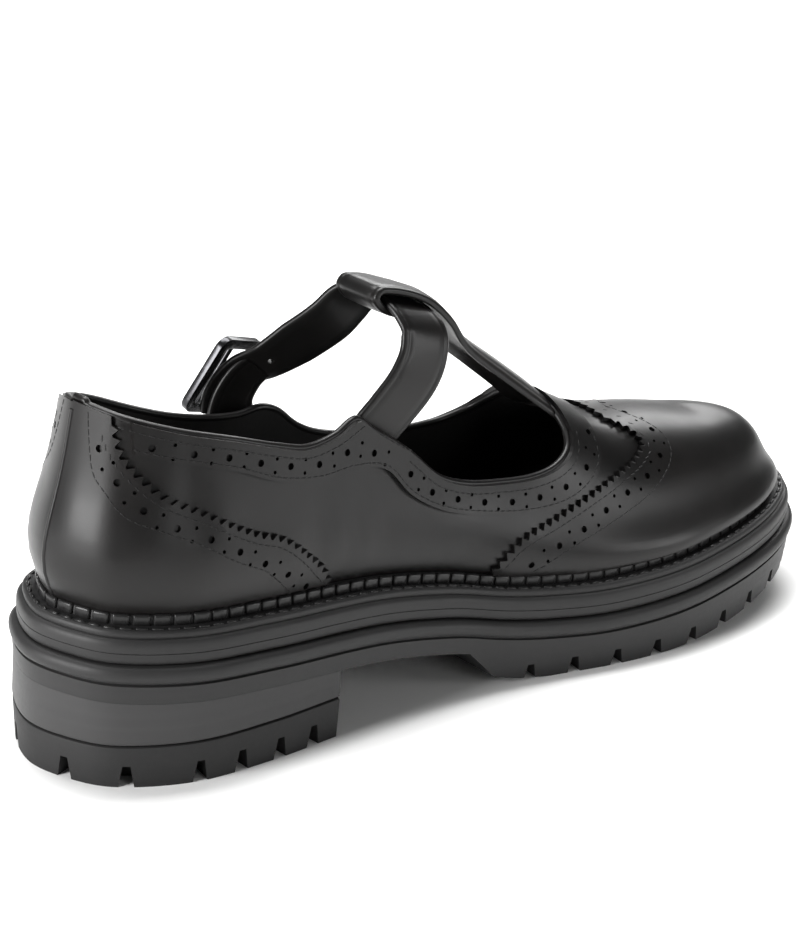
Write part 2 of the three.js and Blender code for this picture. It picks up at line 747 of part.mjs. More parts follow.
const leather = { color: 0x141414, roughness: 0.35, metalness: 0 };
const rubber = { color: 0x2a2a2c, roughness: 0.65, metalness: 0 };
const metal = { color: 0x1b1b1d, roughness: 0.3, metalness: 0.9 };

const widths = outline.getPoints(ringCount).map((point) => point.y);
const middle = (Math.min(...widths) + Math.max(...widths)) / 2;

function piece(name, body, look) {
  const { vertProperties, triVerts } = body.getMesh();
  const geometry = new THREE.BufferGeometry();
  geometry.setAttribute("position", new THREE.BufferAttribute(new Float32Array(vertProperties), 3));
  geometry.setIndex(Array.from(triVerts));
  geometry.translate(-soleLength / 2, -middle, 0);
  geometry.computeVertexNormals();
  const part = new THREE.Mesh(geometry, new THREE.MeshStandardMaterial(look));
  part.name = name;
  return part;
}

const shoe = new THREE.Group();
shoe.add(piece("outsole", outsole, rubber));
shoe.add(piece("heel_block", heelBlock, rubber));
shoe.add(piece("heel_tread", heelTread, rubber));
shoe.add(piece("midsole", midsole, rubber));
shoe.add(piece("welt", welt, rubber));
shoe.add(piece("insole", insole, leather));
shoe.add(piece("upper", upper, leather));
shoe.add(piece("counter", counter, leather));
shoe.add(piece("wing_cap", wingCap, leather));
shoe.add(piece("throat_band", throatBand, leather));
shoe.add(piece("ankle_strap", ankleStrap, leather));
shoe.add(piece("buckle_strap", chape, leather));
shoe.add(piece("buckle_frame", buckleFrame, metal));
shoe.add(piece("buckle_prong", prong, metal));
export default shoe;
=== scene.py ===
import json
import math
import bmesh
import bpy
import numpy as np
from mathutils import Matrix, Vector
from mathutils.bvhtree import BVHTree


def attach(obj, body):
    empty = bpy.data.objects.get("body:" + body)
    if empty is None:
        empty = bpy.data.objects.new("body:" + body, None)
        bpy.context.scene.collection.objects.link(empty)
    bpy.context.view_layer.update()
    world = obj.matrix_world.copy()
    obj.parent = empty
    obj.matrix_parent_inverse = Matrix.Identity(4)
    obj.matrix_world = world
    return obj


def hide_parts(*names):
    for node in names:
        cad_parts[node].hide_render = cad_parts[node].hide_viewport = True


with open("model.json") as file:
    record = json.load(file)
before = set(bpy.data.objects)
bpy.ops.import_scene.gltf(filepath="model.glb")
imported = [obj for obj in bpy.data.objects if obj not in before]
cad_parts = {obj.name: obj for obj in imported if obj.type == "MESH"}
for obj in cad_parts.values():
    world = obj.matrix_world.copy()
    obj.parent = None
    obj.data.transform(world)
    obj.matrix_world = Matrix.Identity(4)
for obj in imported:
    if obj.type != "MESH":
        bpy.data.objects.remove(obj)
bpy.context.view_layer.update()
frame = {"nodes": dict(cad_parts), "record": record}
bpy.context.scene.view_settings.view_transform = "Standard"
slots = [material["slot"] for material in frame["record"]["materials"]]
rubberSlot, leatherSlot, metalSlot = slots[0], slots[1], slots[-1]

# the shoe's own sizes in millimetres, as the part's source has them, heel at x = 0
shoe = {
    "soleLength": 290,
    "ballWidth": 96,
    "collarHeight": 106,
    "heelLength": 83,
    "beadLine": 31.8,
    "beadHeight": 5.2,
    "soleWall": 5.7,
    "midsoleTop": 12.6,
    "heelTread": 12.4,
    "toeSpring": 9.9,
    "footInset": 11.5,
    "wall": 1.8,
    "overlay": 1.1,
    "gap": 0.3,
    "ribInset": 8.1,
    "ribHeight": 5.4,
    "weltInset": 3.9,
    "weltThickness": 2.2,
}
soleLength = shoe["soleLength"]
ballWidth = shoe["ballWidth"]
collarHeight = shoe["collarHeight"]

outlineTable = {
    "along": [0.013, 0.039, 0.111, 0.203, 0.294, 0.382, 0.471, 0.556, 0.641, 0.725, 0.794, 0.859, 0.918,
              0.964, 0.990],
    "medial": [0.146, 0.263, 0.371, 0.386, 0.364, 0.349, 0.358, 0.400, 0.452, 0.474, 0.455, 0.412, 0.345,
               0.255, 0.150],
    "lateral": [0.152, 0.268, 0.372, 0.388, 0.388, 0.408, 0.450, 0.494, 0.522, 0.522, 0.478, 0.405, 0.302,
                0.185, 0.070],
    "toeDrift": -0.04,
}
profileTable = {
    "along": [0.00, 0.16, 0.27, 0.35, 0.44, 0.50, 0.55, 0.61, 0.67, 0.74, 0.82, 0.91, 1.00],
    "line": [1.000, 0.933, 0.853, 0.777, 0.632, 0.500, 0.428, 0.386, 0.390, 0.425, 0.488, 0.560, 0.670],
    "lift": [0, 0, 0, 0, 0, 0, 0, 0, 0, 0.06, 0.28, 0.66, 1.00],
}
lastTable = {
    "along": [0.02, 0.12, 0.21, 0.29, 0.38, 0.45, 0.51, 0.57, 0.64, 0.72, 0.80, 0.86, 0.97],
    "crest": [1.415, 1.415, 1.387, 1.310, 1.170, 1.060, 0.945, 0.830, 0.700, 0.620, 0.592, 0.556, 0.552],
    "power": [2.00, 2.20, 2.50, 2.60, 2.50, 2.40, 2.30, 2.20, 2.10, 2.15, 2.30, 2.50, 2.60],
    "swell": [0.054, 0.052, 0.040, 0.038, 0.040, 0.042, 0.044, 0.044, 0.044, 0.046, 0.044, 0.044, 0.044],
}


def column(table, key):
    xs, ys = table["along"], table[key]
    last = len(xs) - 1
    slopes = [(ys[min(i + 1, last)] - ys[max(i - 1, 0)]) / (xs[min(i + 1, last)] - xs[max(i - 1, 0)])
              for i in range(last + 1)]

    def value(share):
        share = min(max(share, xs[0]), xs[last])
        i = 0
        while i < last - 1 and share > xs[i + 1]:
            i += 1
        span = xs[i + 1] - xs[i]
        t = (share - xs[i]) / span
        start = (1 + 2 * t) * (1 - t) ** 2 * ys[i] + t * t * (3 - 2 * t) * ys[i + 1]
        return start + t * (1 - t) ** 2 * slopes[i] * span - t * t * (1 - t) * slopes[i + 1] * span
    return value


# a smooth line through points, evenly stepped from point to point as the part's source draws it
def smoothCurve(points, closed=False):
    points = [np.array(p, float) for p in points]
    count = len(points)

    def at(t):
        place = (count if closed else count - 1) * t
        first = math.floor(place)
        w = place - first
        if closed:
            first %= count
        elif first >= count - 1:
            first, w = count - 2, 1.0
        before = points[(first - 1) % count] if closed or first > 0 else 2 * points[0] - points[1]
        a, b = points[first % count], points[(first + 1) % count]
        after = points[(first + 2) % count] if closed or first + 2 < count else 2 * points[-1] - points[-2]
        d0, d1, d2 = [max(np.linalg.norm(q - p) ** 0.5, 1e-4) for p, q in ((before, a), (a, b), (b, after))]
        m1 = ((a - before) / d0 - (b - before) / (d0 + d1) + (b - a) / d1) * d1
        m2 = ((b - a) / d1 - (after - a) / (d1 + d2) + (after - b) / d2) * d1
        return a + m1 * w + (-3 * a + 3 * b - 2 * m1 - m2) * w ** 2 + (2 * a - 2 * b + m1 + m2) * w ** 3
    return at


lineShare = column(profileTable, "line")
liftShare = column(profileTable, "lift")
crestShare = column(lastTable, "crest")
powerAt = column(lastTable, "power")
swellShare = column(lastTable, "swell")


def lineHeight(x):  # the underside of the bead
    return shoe["beadLine"] * lineShare(x / soleLength)


def groundHeight(x):  # the underside of the tread, which lifts at the toe
    return shoe["toeSpring"] * max(liftShare(x / soleLength), 0)


def aboveLine(rise):
    return lambda x: lineHeight(x) + rise


def aboveMidsole(rise):
    return aboveLine(shoe["midsoleTop"] + rise)


def level(height):
    return lambda x: height


places = outlineTable["along"]
outlinePoints = [(0, 0, 0)]
outlinePoints += [(a * soleLength, -w * ballWidth, 0) for a, w in zip(places, outlineTable["medial"])]
outlinePoints += [(soleLength, outlineTable["toeDrift"] * ballWidth, 0)]
outlinePoints += [(a * soleLength, w * ballWidth, 0)
                  for a, w in zip(places[::-1], outlineTable["lateral"][::-1])]
outline = smoothCurve(outlinePoints, closed=True)
sideValues = [outline(i / 64)[1] for i in range(65)]
middle = (min(sideValues) + max(sideValues)) / 2


def tangent(curve, t, step=1e-4, closed=False):
    low, high = (t - step, t + step) if closed else (max(t - step, 0), min(t + step, 1))
    way = curve(high) - curve(low)
    return way / np.linalg.norm(way)


outlineCache = {}


def outlineAt(count):
    if count not in outlineCache:
        spots = np.array([outline(i / count) for i in range(count)])
        ways = np.array([tangent(outline, i / count, closed=True) for i in range(count)])
        outlineCache[count] = (spots, ways)
    return outlineCache[count]


def ring(inset, height, count):
    spots, ways = outlineAt(count)
    points = spots + inset * np.stack([-ways[:, 1], ways[:, 0], np.zeros(count)], 1)
    points[:, 2] = [height(x) for x in points[:, 0]]
    return points


def toFrame(points):  # millimetres from the heel to metres in the part's frame
    return (np.asarray(points, float) - np.array([soleLength / 2, middle, 0])) / 1000


def lengthAlong(points):  # the way walked to each point
    return np.concatenate([[0], np.cumsum(np.linalg.norm(np.diff(points, axis=0), axis=1))])


def across(points):  # each point drawn to the middle between it and its partner over the shoe
    partner = points[(-np.arange(len(points))) % len(points)]
    return (points + partner) / 2


def pickOnly(piece):
    if bpy.context.mode != "OBJECT":
        bpy.ops.object.mode_set(mode="OBJECT")
    bpy.ops.object.select_all(action="DESELECT")
    piece.select_set(True)
    bpy.context.view_layer.objects.active = piece


def toCentre(points):
    return np.tile(points.mean(0), (len(points), 1))


# a circle extruded ring by ring, each new ring laid on its own points
def sweepRings(name, rings, joinEnds=False, closing=across):
    if not joinEnds:
        rings = [closing(rings[0]), *rings, closing(rings[-1])]
    rings = [toFrame(r) for r in rings]
    bpy.ops.object.select_all(action="DESELECT")
    bpy.ops.mesh.primitive_circle_add(vertices=len(rings[0]), radius=0.05)
    piece = bpy.context.object
    piece.name = name
    piece.data.name = name
    bpy.ops.object.mode_set(mode="EDIT")
    mesh = bmesh.from_edit_mesh(piece.data)
    place = mesh.verts.layers.int.new("place")
    for i, vertex in enumerate(mesh.verts):
        vertex[place] = i
        vertex.co = rings[0][i]
    for points in rings[1:]:
        bpy.ops.mesh.extrude_region_move()
        mesh = bmesh.from_edit_mesh(piece.data)
        place = mesh.verts.layers.int["place"]
        for vertex in mesh.verts:
            if vertex.select:
                vertex.co = points[vertex[place]]
    bmesh.update_edit_mesh(piece.data)
    if joinEnds:
        bpy.ops.mesh.select_all(action="DESELECT")
        bpy.ops.mesh.select_mode(type="EDGE")
        mesh = bmesh.from_edit_mesh(piece.data)
        for edge in mesh.edges:
            edge.select_set(edge.is_boundary)
        bpy.ops.mesh.bridge_edge_loops()
        bpy.ops.mesh.select_mode(type="VERT")
    bpy.ops.mesh.select_all(action="SELECT")
    bpy.ops.mesh.remove_doubles(threshold=2e-6)
    bpy.ops.mesh.normals_make_consistent(inside=False)
    bpy.ops.object.mode_set(mode="OBJECT")
    piece.matrix_world = Matrix.Identity(4)
    return piece


def applyModifier(piece, kind, **settings):
    modifier = piece.modifiers.new(kind.title(), kind)
    for key, value in settings.items():
        setattr(modifier, key, value)
    pickOnly(piece)
    bpy.ops.object.modifier_apply(modifier=modifier.name)
    return piece


def combine(piece, other, operation, crossing=False):  # crossing is for cutters that cross each other
    applyModifier(piece, "BOOLEAN", object=other, operation=operation, solver="EXACT", use_self=crossing)
    bpy.data.objects.remove(other)
    return piece


def joined(pieces):  # several objects made one
    pickOnly(pieces[0])
    for piece in pieces[1:]:
        piece.select_set(True)
    bpy.ops.object.join()
    return pieces[0]


def facesOutward(piece):
    pickOnly(piece)
    bpy.ops.object.mode_set(mode="EDIT")
    bpy.ops.mesh.select_all(action="SELECT")
    bpy.ops.mesh.normals_make_consistent(inside=False)
    bpy.ops.object.mode_set(mode="OBJECT")


# a prism across the shoe from a side view in x and z
def sidePrism(name, points, low, high):
    bpy.ops.object.select_all(action="DESELECT")
    bpy.ops.mesh.primitive_circle_add(vertices=len(points), radius=0.05, fill_type="NGON")
    piece = bpy.context.object
    piece.name = name
    for vertex, point in zip(piece.data.vertices, toFrame([(x, low, z) for x, z in points])):
        vertex.co = point
    bpy.ops.object.mode_set(mode="EDIT")
    bpy.ops.mesh.select_all(action="SELECT")
    bpy.ops.mesh.extrude_region_move(TRANSFORM_OT_translate={"value": (0, (high - low) / 1000, 0)})
    bpy.ops.mesh.select_all(action="SELECT")
    bpy.ops.mesh.quads_convert_to_tris(ngon_method="BEAUTY")
    bpy.ops.mesh.normals_make_consistent(inside=False)
    bpy.ops.object.mode_set(mode="OBJECT")
    piece.matrix_world = Matrix.Identity(4)
    return piece


def smoothShade(piece, angle):
    pickOnly(piece)
    bpy.ops.object.shade_smooth_by_angle(angle=math.radians(angle))


def finishPiece(piece, material, slotName, angle, *nodes):
    piece.data.materials.clear()
    piece.data.materials.append(material)
    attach(piece, "root")
    if nodes:
        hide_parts(*nodes)
    smoothShade(piece, angle)


class Wire:  # one socket with its operators
    def __init__(self, look, socket):
        self.look, self.socket = look, socket

    def maths(self, operation, *others):
        return self.look.node("ShaderNodeMath", {"operation": operation}, self, *others)

    def __add__(self, other): return self.maths("ADD", other)
    def __sub__(self, other): return self.maths("SUBTRACT", other)
    def __mul__(self, other): return self.maths("MULTIPLY", other)
    def __truediv__(self, other): return self.maths("DIVIDE", other)
    def __pow__(self, other): return self.maths("POWER", other)
    def __rsub__(self, other): return self.look.node("ShaderNodeMath", {"operation": "SUBTRACT"}, other, self)
    __radd__ = __add__
    __rmul__ = __mul__

    def clamp(self, low=0.0, high=1.0):
        return self.maths("MAXIMUM", low).maths("MINIMUM", high)


class Look:  # one material and its nodes
    def __init__(self, name, **fixed):
        self.material = bpy.data.materials.new(name)
        self.material.use_nodes = True
        self.tree = self.material.node_tree
        self.shader = self.tree.nodes["Principled BSDF"]
        for key, value in fixed.items():
            self.shader.inputs[key.replace("_", " ")].default_value = value

    def node(self, kind, settings=None, *values, out=0, **named):
        made = self.tree.nodes.new(kind)
        for key, value in (settings or {}).items():
            if key == "stops":
                for i, (place, shade) in enumerate(value):
                    stop = made.color_ramp.elements[i] if i < 2 else made.color_ramp.elements.new(place)
                    stop.position, stop.color = place, (*shade, 1)
            else:
                setattr(made, key, value)
        for key, value in [*enumerate(values), *[(k.replace("_", " "), v) for k, v in named.items()]]:
            if isinstance(value, Wire):
                self.tree.links.new(value.socket, made.inputs[key])
            else:
                made.inputs[key].default_value = value
        return Wire(self, made.outputs[out])

    def noise(self, scale, detail=3.0, roughness=0.55, vector=None):
        return self.node("ShaderNodeTexNoise", None, Vector=vector or self.place(), Scale=scale, Detail=detail,
                         Roughness=roughness)

    def place(self, stretch=None):
        spot = self.node("ShaderNodeTexCoord", out=3)
        if stretch:
            spot = self.node("ShaderNodeMapping", None, Vector=spot, Scale=stretch)
        return spot

    def mix(self, share, first, second):
        made = self.tree.nodes.new("ShaderNodeMix")
        made.data_type = "RGBA"
        for socket, value in zip((made.inputs[0], made.inputs[6], made.inputs[7]), (share, first, second)):
            if isinstance(value, Wire):
                self.tree.links.new(value.socket, socket)
            else:
                socket.default_value = value if isinstance(value, float) else (*value, 1)
        return Wire(self, made.outputs[2])

    def bump(self, height, distance, strength=1.0, after=None):
        named = {"Normal": after} if after else {}
        return self.node("ShaderNodeBump", None, Strength=strength, Distance=distance, Height=height, **named)

    def feed(self, key, wire):
        self.tree.links.new(wire.socket, self.shader.inputs[key])
        return self


leatherLook = {
    "black": (0.0042, 0.0040, 0.0040),
    "worn": (0.0095, 0.0082, 0.0078),
    "roughness": 0.36,
    "roughnessSpread": 0.16,
    "grainSize": 0.45,     # mm
    "grainDepth": 0.014,   # mm
    "ripple": 0.10,        # mm, the soft unevenness of the hide
    "coat": 0.10,
}


def leather(name, settings, rougher=0.0):
    look = Look(name, Specular_IOR_Level=0.24, Coat_Roughness=0.20)
    look.shader.inputs["Coat Weight"].default_value = settings["coat"]
    cloud = look.noise(22, 3)
    blotch = look.noise(95, 4)
    pores = look.node("ShaderNodeTexVoronoi", {"feature": "F1"}, Vector=look.place(),
                      Scale=1000 / settings["grainSize"])
    fine = look.noise(1800, 2)
    share = ((cloud - 0.42) * 3.2).clamp() * 0.7 + blotch * 0.2
    look.feed("Base Color", look.mix(share, settings["black"], settings["worn"]))
    rough = (settings["roughness"] + rougher) + (blotch - 0.5) * settings["roughnessSpread"]
    rough = rough + (fine - 0.5) * 0.05
    look.feed("Roughness", rough.clamp(0.12, 0.95))
    hide = look.bump(look.noise(70, 2), settings["ripple"] / 1000, 0.35)
    look.feed("Normal", look.bump(pores + fine * 0.6, settings["grainDepth"] / 1000, 0.6, after=hide))
    return look.material


rubberLook = {
    "dark": (0.013, 0.013, 0.0134),
    "light": (0.027, 0.0265, 0.0265),
    "roughness": 0.50,
    "mouldLines": 0.045,   # mm, faint lines along the side wall
    "speckle": 0.03,       # mm
}


def rubber(name, settings, rougher=0.0, lighter=1.0):
    look = Look(name, Specular_IOR_Level=0.28)
    cloud = look.noise(18, 3)
    dust = look.noise(700, 3, 0.7)
    drawn = look.noise(1.0, 3, 0.6, vector=look.place((9, 9, 420)))
    dark = tuple(c * lighter for c in settings["dark"])
    light = tuple(c * lighter for c in settings["light"])
    look.feed("Base Color", look.mix((cloud * 0.5 + drawn * 0.5), dark, light))
    rough = (settings["roughness"] + rougher) + (dust - 0.5) * 0.16 + (drawn - 0.5) * 0.10
    look.feed("Roughness", rough.clamp(0.2, 0.95))
    lines = look.bump(drawn, settings["mouldLines"] / 1000, 0.5)
    look.feed("Normal", look.bump(dust, settings["speckle"] / 1000, 0.4, after=lines))
    return look.material


def lining(name):
    look = Look(name, Specular_IOR_Level=0.25)
    weave = look.noise(900, 3, 0.7)
    look.feed("Base Color", look.mix(look.noise(60, 3), (0.009, 0.009, 0.009), (0.018, 0.0172, 0.017)))
    look.feed("Roughness", (0.74 + (weave - 0.5) * 0.2).clamp(0.3, 0.98))
    look.feed("Normal", look.bump(weave, 0.00004, 0.5))
    return look.material


def blackMetal(name):
    look = Look(name, Specular_IOR_Level=0.5, Metallic=0.85)
    scuff = look.noise(240, 4, 0.65)
    look.feed("Base Color", look.mix(scuff, (0.020, 0.020, 0.022), (0.055, 0.055, 0.058)))
    look.feed("Roughness", (0.24 + (scuff - 0.5) * 0.16).clamp(0.08, 0.8))
    look.feed("Normal", look.bump(look.noise(1300, 2), 0.00002, 0.4))
    return look.material


def thread(name):
    look = Look(name, Specular_IOR_Level=0.30)
    twist = look.node("ShaderNodeTexWave", {"wave_type": "BANDS", "bands_direction": "DIAGONAL"},
                      Vector=look.place(), Scale=900.0, Distortion=1.5)
    look.feed("Base Color", look.mix(twist, (0.0012, 0.0012, 0.0012), (0.0040, 0.0038, 0.0037)))
    look.feed("Roughness", (0.40 + twist * 0.2).clamp(0.2, 0.9))
    look.feed("Normal", look.bump(twist, 0.00006, 0.6))
    return look.material


upperLeather = leather("upperLeather", leatherLook)
overlayLeather = leather("overlayLeather", leatherLook, 0.02)
strapLeather = leather("strapLeather", leatherLook, 0.04)
rubberWall = rubber("rubberWall", rubberLook)
rubberTread = rubber("rubberTread", rubberLook, 0.12, 0.8)
rubberGloss = rubber("rubberGloss", rubberLook, -0.20, 0.75)
rubberHeel = rubber("rubberHeel", rubberLook, 0.02, 1.8)
liningLeather = lining("liningLeather")
buckleMetal = blackMetal("buckleMetal")
sewingThread = thread("sewingThread")
print("materials ready")

# the last, as the part's source shapes it, with finer steps
lastDetail = {
    "count": 224,       # points round the foot
    "steps": 40,        # from the foot to the crest
    "swellPeak": 223,   # makes the side's swell 1 at its fullest
    "spineBack": 36,    # mm, where the crest line starts and ends
    "spineFront": 246,
    "relaxing": 60,     # rounds of smoothing
}


def relaxed(grid):  # the top of the last smoothed, most of all along its spine
    steps, count = len(grid) - 1, len(grid[0])
    partner = (-np.arange(count)) % count
    share = np.clip((np.arange(steps + 1) / steps - 0.40) / 0.35, 0, 1)[:, None, None]
    for _ in range(lastDetail["relaxing"]):
        above = np.concatenate([grid[1:], grid[-2:-1][:, partner]])
        below = np.concatenate([grid[:1], grid[:-1]])
        near = (above + below + np.roll(grid, 1, 1) + np.roll(grid, -1, 1)) / 4
        near[-1] = (near[-1] + near[-1][partner]) / 2
        grid = grid + (near - grid) * share * 0.5
    return grid


def lastRings(grow):
    count, steps = lastDetail["count"], lastDetail["steps"]
    foot = ring(shoe["footInset"], aboveMidsole(shoe["gap"]), count)
    partner = foot[(-np.arange(count)) % count]
    spineX = np.clip((foot[:, 0] + partner[:, 0]) / 2, lastDetail["spineBack"], lastDetail["spineFront"])
    share = foot[:, 0] / soleLength
    crest = np.array([crestShare(x / soleLength) for x in spineX]) * collarHeight
    power = np.array([powerAt(s) for s in share])
    swell = np.array([swellShare(s) for s in share]) * ballWidth
    away = np.stack([foot[:, 0] - spineX, foot[:, 1]], 1)
    length = np.linalg.norm(away, axis=1)
    grid = []
    for j in range(steps + 1):
        angle = j / steps * math.pi / 2
        reach = max(math.cos(angle), 0) ** (2 / power)
        climb = math.sin(angle) ** (2 / power)
        bulge = lastDetail["swellPeak"] * climb ** 2 * (1 - climb) ** 10 * swell
        out = away * ((reach * length + bulge) / length)[:, None]
        grid.append(np.stack([spineX + out[:, 0], out[:, 1], foot[:, 2] + (crest - foot[:, 2]) * climb], 1))
    grid = relaxed(np.array(grid))
    above = grid[np.minimum(np.arange(steps + 1) + 1, steps)]
    below = grid[np.maximum(np.arange(steps + 1) - 1, 0)]
    normal = np.cross(np.roll(grid, -1, 1) - np.roll(grid, 1, 1), above - below)
    normal[steps] = (0, 0, 1)
    normal /= np.maximum(np.linalg.norm(normal, axis=2, keepdims=True), 1e-9)
    return grid + normal * (grow + creased(grid))


creases = [  # side, x, height, slope in degrees, length, width and depth in mm
    (-1, 78, 60, 78, 15, 4.2, 0.34), (-1, 90, 54, 70, 13, 4.0, 0.30), (-1, 104, 57, 64, 12, 4.0, 0.28),
    (-1, 140, 44, 24, 17, 4.0, 0.30), (-1, 150, 38, 18, 15, 3.8, 0.26), (-1, 30, 66, 60, 14, 4.4, 0.26),
    (-1, 16, 74, 84, 12, 4.0, 0.26), (1, 80, 56, 76, 14, 4.2, 0.34), (1, 96, 52, 66, 13, 4.0, 0.30),
    (1, 142, 42, 24, 17, 4.0, 0.30), (1, 160, 40, 16, 14, 3.8, 0.28), (1, 26, 70, 66, 14, 4.4, 0.26),
]


def creased(grid):  # each crease is a soft trough with a low ridge on both sides
    rise = np.zeros(grid.shape[:2])
    for side, x, z, slope, length, width, depth in creases:
        c, s = math.cos(math.radians(slope)), math.sin(math.radians(slope))
        along = (grid[..., 0] - x) * c + (grid[..., 2] - z) * s
        off = (grid[..., 2] - z) * c - (grid[..., 0] - x) * s + along ** 2 * 0.012
        here = np.clip(grid[..., 1] * side / 8, 0, 1) * np.exp(-(along / length) ** 2)
        ridges = 0.45 * np.exp(-((np.abs(off) - 2 * width) / width) ** 2)
        rise += here * depth * (ridges - np.exp(-(off / width) ** 2))
    return rise[..., None]


def lastForm(name, grow, skirt=0):  # the last grown by some millimetres, with a skirt below its foot
    rings = list(lastRings(grow))
    if skirt:
        rings = [rings[0] - np.array([0, 0, skirt])] + rings
    return sweepRings(name, rings)


def sideLine(table, key):
    return [(a * soleLength, v * collarHeight) for a, v in zip(table["along"], table[key])]


def evenPath(points, step):
    curve = smoothCurve(points)
    fine = np.array([curve(i / 600) for i in range(601)])
    along = lengthAlong(fine)
    count = max(int(round(along[-1] / step)), 1)
    spots = np.linspace(0, along[-1], count + 1)
    return np.stack([np.interp(spots, along, fine[:, k]) for k in range(3)], 1)


def evenLine(points, step):  # the same for a side view in x and z
    return evenPath([(x, 0, z) for x, z in points], step)[:, [0, 2]]


toplineTable = {
    "along": [0.040, 0.070, 0.107, 0.172, 0.224, 0.262, 0.300, 0.328, 0.348, 0.375, 0.400, 0.435, 0.470,
              0.517, 0.560, 0.592, 0.616, 0.624],
    "medial": [0.995, 0.965, 0.934, 0.885, 0.840, 0.814, 0.825, 0.852, 0.812, 0.765, 0.715, 0.632, 0.594,
               0.575, 0.570, 0.585, 0.620, 0.660],
    "lateral": [0.995, 0.950, 0.907, 0.830, 0.780, 0.757, 0.748, 0.757, 0.738, 0.680, 0.642, 0.610, 0.590,
                0.572, 0.566, 0.578, 0.615, 0.655],
}
opening = {"front": 0.626, "behind": -60, "above": 220}
halfWidth = 90   # mm, past the shoe's side, for all that cuts across it


def cutLine(points, step=1.5):
    return [tuple(p) for p in evenLine(points, step)]


def openingPrism(key, low, high):
    edge = cutLine(sideLine(toplineTable, key), 2.0)
    behind, above = opening["behind"], opening["above"]
    return sidePrism("opening", [(behind, edge[0][1]), *edge, (opening["front"] * soleLength, above),
                                 (behind, above)], low, high)


def cutOpening(piece):
    near, far = openingPrism("medial", -halfWidth, 0.02), openingPrism("lateral", -0.02, halfWidth)
    return combine(piece, combine(near, far, "UNION"), "DIFFERENCE")


print("upper")
upper = lastForm("upper_leather", 0)
inner = lastForm("inner", -shoe["wall"], 6)
for form, index in ((upper, 0), (inner, 1)):
    form.data.materials.append(upperLeather)
    form.data.materials.append(liningLeather)
    form.data.polygons.foreach_set("material_index", [index] * len(form.data.polygons))
combine(upper, inner, "DIFFERENCE")
cutOpening(upper)
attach(upper, "root")
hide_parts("upper")
smoothShade(upper, 50)


def weltRoom():  # the overlays stay clear of the welt's rib
    return sweepRings("weltRoom", [ring(0, level(0), 160), ring(0, aboveMidsole(shoe["ribHeight"] - 0.4), 160)])


def skin(name, region):  # an overlay: a thin shell on the last, inside its region
    piece = lastForm(name, shoe["gap"] + shoe["overlay"])
    combine(piece, lastForm("under", 0.05, 4), "DIFFERENCE")
    combine(piece, weltRoom(), "DIFFERENCE")
    return combine(piece, region, "INTERSECT")


print("counter and wing cap")
counterTable = {
    "along": [0.066, 0.062, 0.066, 0.090, 0.134, 0.186, 0.221, 0.248, 0.279, 0.300],
    "height": [1.050, 0.915, 0.858, 0.774, 0.708, 0.632, 0.594, 0.538, 0.453, 0.300],
}
counterEdge = sideLine(counterTable, "height")
counterOutline = [(-60, 0), (counterEdge[-1][0], 0), *reversed(cutLine(counterEdge)), (-60, counterEdge[0][1])]
counter = skin("counter_leather", sidePrism("region", counterOutline, -halfWidth, halfWidth))
cutOpening(counter)
wingTable = {
    "along": [0.480, 0.503, 0.524, 0.590, 0.672, 0.712, 0.731, 0.730, 0.717, 0.703, 0.702],
    "height": [0.200, 0.340, 0.396, 0.453, 0.519, 0.550, 0.576, 0.596, 0.622, 0.645, 0.900],
}
wingEdge = sideLine(wingTable, "height")
wingOutline = [*cutLine(wingEdge), (400, 100), (400, 0), (wingEdge[0][0], 0)]
wingCap = skin("wing_cap_leather", sidePrism("region", wingOutline, -halfWidth, halfWidth))

print("throat band")
bandTable = {
    "along": [0.0765, 0.169, 0.221, 0.276, 0.324, 0.362, 0.393, 0.434, 0.497, 0.555, 0.600, 0.634, 0.655,
              0.662, 0.662],
    "medial": [0.879, 0.811, 0.755, 0.726, 0.726, 0.700, 0.613, 0.547, 0.500, 0.481, 0.490, 0.528, 0.580,
               0.640, 0.900],
    "lateral": [0.868, 0.755, 0.705, 0.670, 0.655, 0.610, 0.570, 0.530, 0.498, 0.481, 0.490, 0.528, 0.580,
                0.640, 0.900],
}


def bandPrism(key, low, high):
    edge = cutLine(sideLine(bandTable, key), 2.0)
    return sidePrism("bandSide", [*edge, (edge[0][0], 110)], low, high)


bandRegion = combine(bandPrism("medial", -halfWidth, 0.01), bandPrism("lateral", -0.01, halfWidth), "UNION")
throatBand = skin("throat_band_leather", bandRegion)
cutOpening(throatBand)


def faceTree(grow):  # finds places on a face of the last
    form = lastForm("face", grow)
    tree = BVHTree.FromPolygons([v.co.copy() for v in form.data.vertices],
                                [tuple(p.vertices) for p in form.data.polygons])
    bpy.data.objects.remove(form)
    return tree


surfaceTree = faceTree(shoe["gap"] + shoe["overlay"])
wallTree = faceTree(-shoe["wall"] / 2)


def onSurface(x, z, side, y=None):  # the place on the overlays' face at x and z, on one side of the shoe
    start = Vector(toFrame([(x, side * 80, z)])[0])
    spot = None
    if y is None:
        spot, normal, _, _ = surfaceTree.ray_cast(start, Vector((0, -side, 0)))
    if spot is None:
        guess = toFrame([(x, side * (5 if y is None else y), z)])[0]
        spot, normal, _, _ = surfaceTree.find_nearest(Vector(guess))
    if normal.dot(spot - Vector(toFrame([(x, 0, 30)])[0])) < 0:
        normal = -normal
    return spot, normal


punching = {
    "pitch": 10.6,      # mm between two large holes
    "large": 1.05,      # mm radius
    "small": 0.55,
    "spread": 1.9,      # mm from the row's middle to a small hole
    "depth": 1.25,
}
